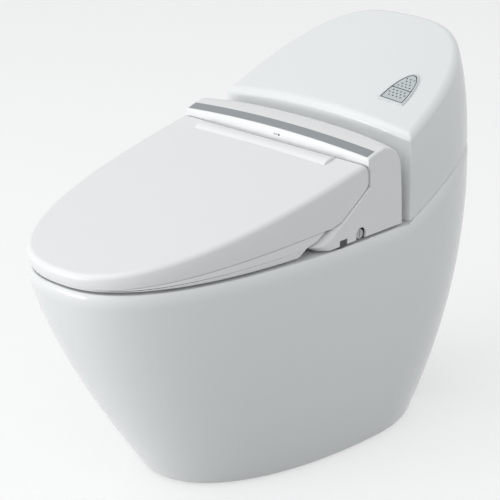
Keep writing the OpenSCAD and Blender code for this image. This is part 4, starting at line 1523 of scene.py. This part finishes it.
# Finishes of the CAD nodes that are shown as they are: maker, its arguments and the nodes
CAD_FINISHES = (
    (rubber, ("Black rubber", (0.035, 0.035, 0.04)),
     ("outlet_gasket", "flush_valve_gasket", "fill_valve_washer", "plug_ring", "cord_gland")),
    (rubber, ("Red rubber", (0.45, 0.06, 0.05)), ("flush_valve_seal",)),
    (metal, ("Zinc steel", (0.62, 0.62, 0.64), 0.32), ("mount_bolts",)),
    (metal, ("Nickel brass", (0.66, 0.64, 0.60), 0.22), ("hose_inlet",)),
    (metal, ("Tank steel", (0.42, 0.43, 0.45), 0.38, 0.6), ("heater_tank",)),
    (matt_plastic, ("Blue plastic", (0.07, 0.17, 0.34)),
     ("flush_actuator", "flush_valve_tube", "fill_valve_cap")),
    (matt_plastic, ("White moulding", (0.72, 0.73, 0.73)),
     ("flush_valve_tower", "fill_valve", "fill_valve_nut", "mount_nuts", "refill_tube",
      "wand_sleeve")),
    (matt_plastic, ("Grey moulding", (0.58, 0.60, 0.61)),
     ("unit_base", "mount_plate", "board_posts", "plug_socket")),
    (matt_plastic, ("Dark moulding", (0.06, 0.065, 0.07)),
     ("float_cup", "left_damper", "right_damper")),
    (matt_plastic, ("Buffer", (0.60, 0.61, 0.61), 0.55, 0.6), ("seat_bumpers", "lid_bumpers")),
    (matt_plastic, ("Wand plastic", (0.78, 0.79, 0.79), 0.22, 0.15),
     ("spray_wand", "nozzle_tip")),
    (matt_plastic, ("Board", (0.02, 0.14, 0.06), 0.4, 0.5, 0.12), ("control_board",)),
    (lens, ("Pale lens", (0.55, 0.58, 0.60)), ("indicator_window",)),
    (lens, ("Dark lens", (0.07, 0.08, 0.09)), ("indicator_lamp",)),
)


# Operators: one for each piece or group of like pieces


class BodyOperator(bpy.types.Operator):
    """Builds the smooth glazed body with its rim, bowl and rear opening"""

    bl_idname = "toilet.body"
    bl_label = "Ceramic body"

    def execute(self, context):
        shape.read(context.scene)
        finish_piece(ceramic_body(), "body_glazed", "ceramic_body", "base",
                     glazed_clay())
        return {"FINISHED"}


class CoverOperator(bpy.types.Operator):
    """Builds the domed tank cover with the opening for the flush buttons"""

    bl_idname = "toilet.tank_cover"
    bl_label = "Tank cover"

    def execute(self, context):
        shape.read(context.scene)
        well = place(plate(shield(1.4, rounding=4), -30, 30, 0.1), at_buttons())
        cover = cut(
            cover_solid(0, COVER_R, 12),
            cover_solid(shape.cover_wall, COVER_R - shape.cover_wall, 16),
            below_cover(), well)
        finish_piece(cover, "tank_cover_glazed", "tank_cover", "base",
                     glazed_clay())
        return {"FINISHED"}


class ButtonOperator(bpy.types.Operator):
    """Builds the frame and the two dimpled flush buttons, with painted shade in the well and
    the dimples
    """

    bl_idname = "toilet.flush_buttons"
    bl_label = "Flush buttons"

    def execute(self, context):
        shape.read(context.scene)
        trim = finished("Bright trim", lambda f: f.tone(looks().trim, 0.2, 0.02, 30, 0.04)
                        .relief("Moulded grain", 0.15, 0.03).set(Coat_Weight=0.4))
        grey = matt_plastic("Grey button", looks().button, 0.34, 0.3)
        # Painted shade for the narrow gaps round the buttons and in their dimples.
        seam = matt_plastic("Button seam", looks().seam, 0.6, 0.3)
        bezel = finish_piece(flush_bezel(), "flush_frame", "flush_bezel", "base", trim)
        # Painted shade on the walls of the well round the buttons.
        paint(bezel, seam, below_top(BEZEL_TOP - 0.1, WELL - 0.5))
        half_gap = BUTTON_GAP / 2
        full = finish_piece(
            flush_button(-50, SPLIT_Y - half_gap, STEMS[0]), "full_button_dimpled",
            "full_flush_button", "full_button", grey)
        half = finish_piece(
            flush_button(SPLIT_Y + half_gap, 50, STEMS[1]), "half_button_dimpled",
            "half_flush_button", "half_button", grey)
        for button in (full, half):
            # Painted shade on each button's sides and in its dimples.
            paint(button, seam, below_top(BUTTON_TOP - 0.5))
        return {"FINISHED"}


class UnitOperator(bpy.types.Operator):
    """Builds the housing of the bidet unit and the stripe across its top"""

    bl_idname = "toilet.unit"
    bl_label = "Bidet unit"

    def execute(self, context):
        shape.read(context.scene)
        finish_piece(unit_cover(), "unit_housing", "unit_cover", "base",
                     gloss_plastic(), crease=28)
        finish_piece(stripe_form(0.2), "stripe_inlay", "stripe_panel", "base",
                     stripe_finish())
        return {"FINISHED"}


class SideOperator(bpy.types.Operator):
    """Builds the drain plug and the release button on the unit's side"""

    bl_idname = "toilet.side_fittings"
    bl_label = "Side fittings"

    def execute(self, context):
        shape.read(context.scene)
        plug = matt_plastic("Plug", looks().plug, 0.32, 0.3)
        release = matt_plastic("Release", looks().release, 0.4, 0.4)
        finish_piece(drain_plug(), "drain_plug_slotted", "drain_plug", "plug", plug)
        finish_piece(release_button(), "release_button_ribbed", "release_button",
                     "release", release)
        return {"FINISHED"}


class LidOperator(bpy.types.Operator):
    """Builds the lid, a shell with a rolled edge and a rear corner on each side"""

    bl_idname = "toilet.lid"
    bl_label = "Lid"

    def execute(self, context):
        shape.read(context.scene)
        finish_piece(lid(), "lid_shell", "lid", "cover_lid", gloss_plastic())
        return {"FINISHED"}


class SeatOperator(bpy.types.Operator):
    """Builds the two shells of the seat ring, with painted shadow on the lower shell's top
    face
    """

    bl_idname = "toilet.seat"
    bl_label = "Seat"

    def execute(self, context):
        shape.read(context.scene)
        finish_piece(seat_top(), "seat_upper", "seat_top", "seat", gloss_plastic())
        lower = finish_piece(seat_bottom(), "seat_lower", "seat_bottom", "seat",
                             gloss_plastic())
        # Painted shadow on the lower shell's top face, in the gap under the upper shell.
        paint(lower, matt_plastic("Ring seam", looks().ring_seam, 0.6, 0.3),
              lambda middle, normal: normal.z > 0.6 and middle.z > seat_split(middle.y) - 0.6)
        return {"FINISHED"}


class FittingsOperator(bpy.types.Operator):
    """Gives the finishes to the fittings that are shown as the frame has them"""

    bl_idname = "toilet.fittings"
    bl_label = "Fittings"

    def execute(self, context):
        done = set()
        for make, arguments, nodes in CAD_FINISHES:
            for node in nodes:
                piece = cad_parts[node]
                piece.data.materials.clear()
                piece.data.materials.append(make(*arguments))
                piece.data.set_sharp_from_angle(angle=radians(35))
                done.add(node)
        plain = [n for n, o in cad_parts.items() if n not in done and not o.hide_render]
        if plain:
            raise RuntimeError(f"no finish for {plain}")
        return {"FINISHED"}


# Where the camera looks, the width of its sensor, and what it sees of sky and floor
AIM = (-0.0939, 0.0010, 0.2612)
SENSOR_W = 36
SKY = (0.98, 0.995, 1, 1)
SKY_SHOWN = 0.93
FLOOR_SHOWN = 0.54
# Half width and front edge of the floor, and where and how tightly it curves up
FLOOR_W, FLOOR_FRONT, FLOOR_BACK, FLOOR_BEND = 6, -4.0, 3.0, 1.5
FLOOR_DROP = 0.0004


def soft_lamp(name, at, aim, size, power):
    """A rectangular area light that faces its aim."""
    light = bpy.data.lights.new(name, "AREA")
    light.shape = "RECTANGLE"
    light.size, light.size_y = size
    light.energy = power
    lamp = bpy.data.objects.new(name, light)
    lamp.location = at
    lamp.rotation_euler = (Vector(aim) - Vector(at)).to_track_quat("-Z", "Y").to_euler()
    bpy.context.scene.collection.objects.link(lamp)


class StageOperator(bpy.types.Operator):
    """Sets the floor, the soft light and the camera"""

    bl_idname = "toilet.stage"
    bl_label = "Stage"

    def execute(self, context):
        scene = context.scene
        stage = scene.toilet_stage
        aim = Vector(AIM)
        a, e = stage.azimuth, stage.elevation
        back = Vector((sin(a) * cos(e), -cos(a) * cos(e), sin(e)))
        data = bpy.data.cameras.new("camera")
        data.lens = stage.lens
        data.sensor_width = SENSOR_W
        camera = bpy.data.objects.new("camera", data)
        camera.location = aim + back * stage.distance
        camera.rotation_euler = (-back).to_track_quat("-Z", "Y").to_euler()
        scene.collection.objects.link(camera)
        scene.camera = camera
        self.make_floor(stage)
        soft_lamp("high front", (-0.6, -1.9, 2.4), (0, 0, 0.3), (3.0, 2.4), stage.key_power)
        soft_lamp("low front", (-1.6, -4.2, 0.6), (0, 0, 0.25), (2.6, 1.0), stage.front_power)
        world = bpy.data.worlds.new("even light")
        scene.world = world
        world.use_nodes = True
        sky = world.node_tree.nodes["Background"]
        sky.inputs["Color"].default_value = SKY
        self.seen_as(world.node_tree, sky.inputs["Strength"], stage.sky, SKY_SHOWN)
        scene.view_settings.view_transform = "Standard"
        return {"FINISHED"}

    @staticmethod
    def seen_as(tree, socket, lit, shown):
        """Strength for the light itself, and another for what the camera sees."""
        path = tree.nodes.new("ShaderNodeLightPath").outputs
        seen = math_node(tree, "MAXIMUM", path["Is Camera Ray"], path["Is Glossy Ray"])
        seen = math_node(tree, "MAXIMUM", seen, path["Is Transmission Ray"])
        extra = times(tree, seen, shown - lit)
        wire(tree, plus(tree, extra, lit), socket)

    @staticmethod
    def make_floor(stage):
        """A floor that curves up into the backdrop."""
        bend = [(FLOOR_BACK + FLOOR_BEND * sin(a), FLOOR_BEND * (1 - cos(a)))
                for a in quarter(16)]
        profile = [(FLOOR_FRONT, 0)] + bend + [(4.5, 4.5)]
        points = [(x, y, z - FLOOR_DROP) for x in (-FLOOR_W, FLOOR_W) for y, z in profile]
        count = len(profile)
        faces = [(j, j + 1, count + j + 1, count + j) for j in range(count - 1)]
        mesh = bpy.data.meshes.new("floor")
        mesh.from_pydata(points, [], faces)
        floor = bpy.data.objects.new("floor", mesh)
        floor.rotation_euler = (0, 0, stage.azimuth)
        bpy.context.scene.collection.objects.link(floor)
        mesh.polygons.foreach_set("use_smooth", [True] * len(mesh.polygons))
        paper = Finish("Backdrop paper").tone(stage.floor, 0.9, 0.004, 2, 0.02)
        paper.set(Specular_IOR_Level=0.1, Emission_Color=(1, 1, 1, 1))
        StageOperator.seen_as(paper.tree, paper.shader.inputs["Emission Strength"], 0,
                              FLOOR_SHOWN)
        mesh.materials.append(paper.material)


OPERATORS = (
    BodyOperator, CoverOperator, ButtonOperator, UnitOperator, SideOperator, LidOperator,
    SeatOperator, FittingsOperator, StageOperator)
GROUPS = (
    ("toilet_body", BodySizes), ("toilet_seat", SeatSizes), ("toilet_finish", Finishes),
    ("toilet_stage", StageSettings))


class ToiletPanel(bpy.types.Panel):
    """Lists the operators and their settings"""

    bl_idname = "VIEW3D_PT_toilet"
    bl_label = "Toilet"
    bl_space_type = "VIEW_3D"
    bl_region_type = "UI"
    bl_category = "Toilet"

    def draw(self, context):
        for operator in OPERATORS:
            self.layout.operator(operator.bl_idname)
        for name, group in GROUPS:
            box = self.layout.box()
            box.label(text=group.__doc__)
            for setting in group.__annotations__:
                box.prop(getattr(context.scene, name), setting)


def register():
    for _, group in GROUPS:
        bpy.utils.register_class(group)
    for name, group in GROUPS:
        setattr(bpy.types.Scene, name, bpy.props.PointerProperty(type=group))
    for operator in OPERATORS:
        bpy.utils.register_class(operator)
    bpy.utils.register_class(ToiletPanel)


def unregister():
    bpy.utils.unregister_class(ToiletPanel)
    for operator in reversed(OPERATORS):
        bpy.utils.unregister_class(operator)
    for name, group in reversed(GROUPS):
        delattr(bpy.types.Scene, name)
        bpy.utils.unregister_class(group)


def main():
    register()
    for operator in OPERATORS:
        family, name = operator.bl_idname.split(".")
        getattr(getattr(bpy.ops, family), name)()


if __name__ == "__main__":
    main()
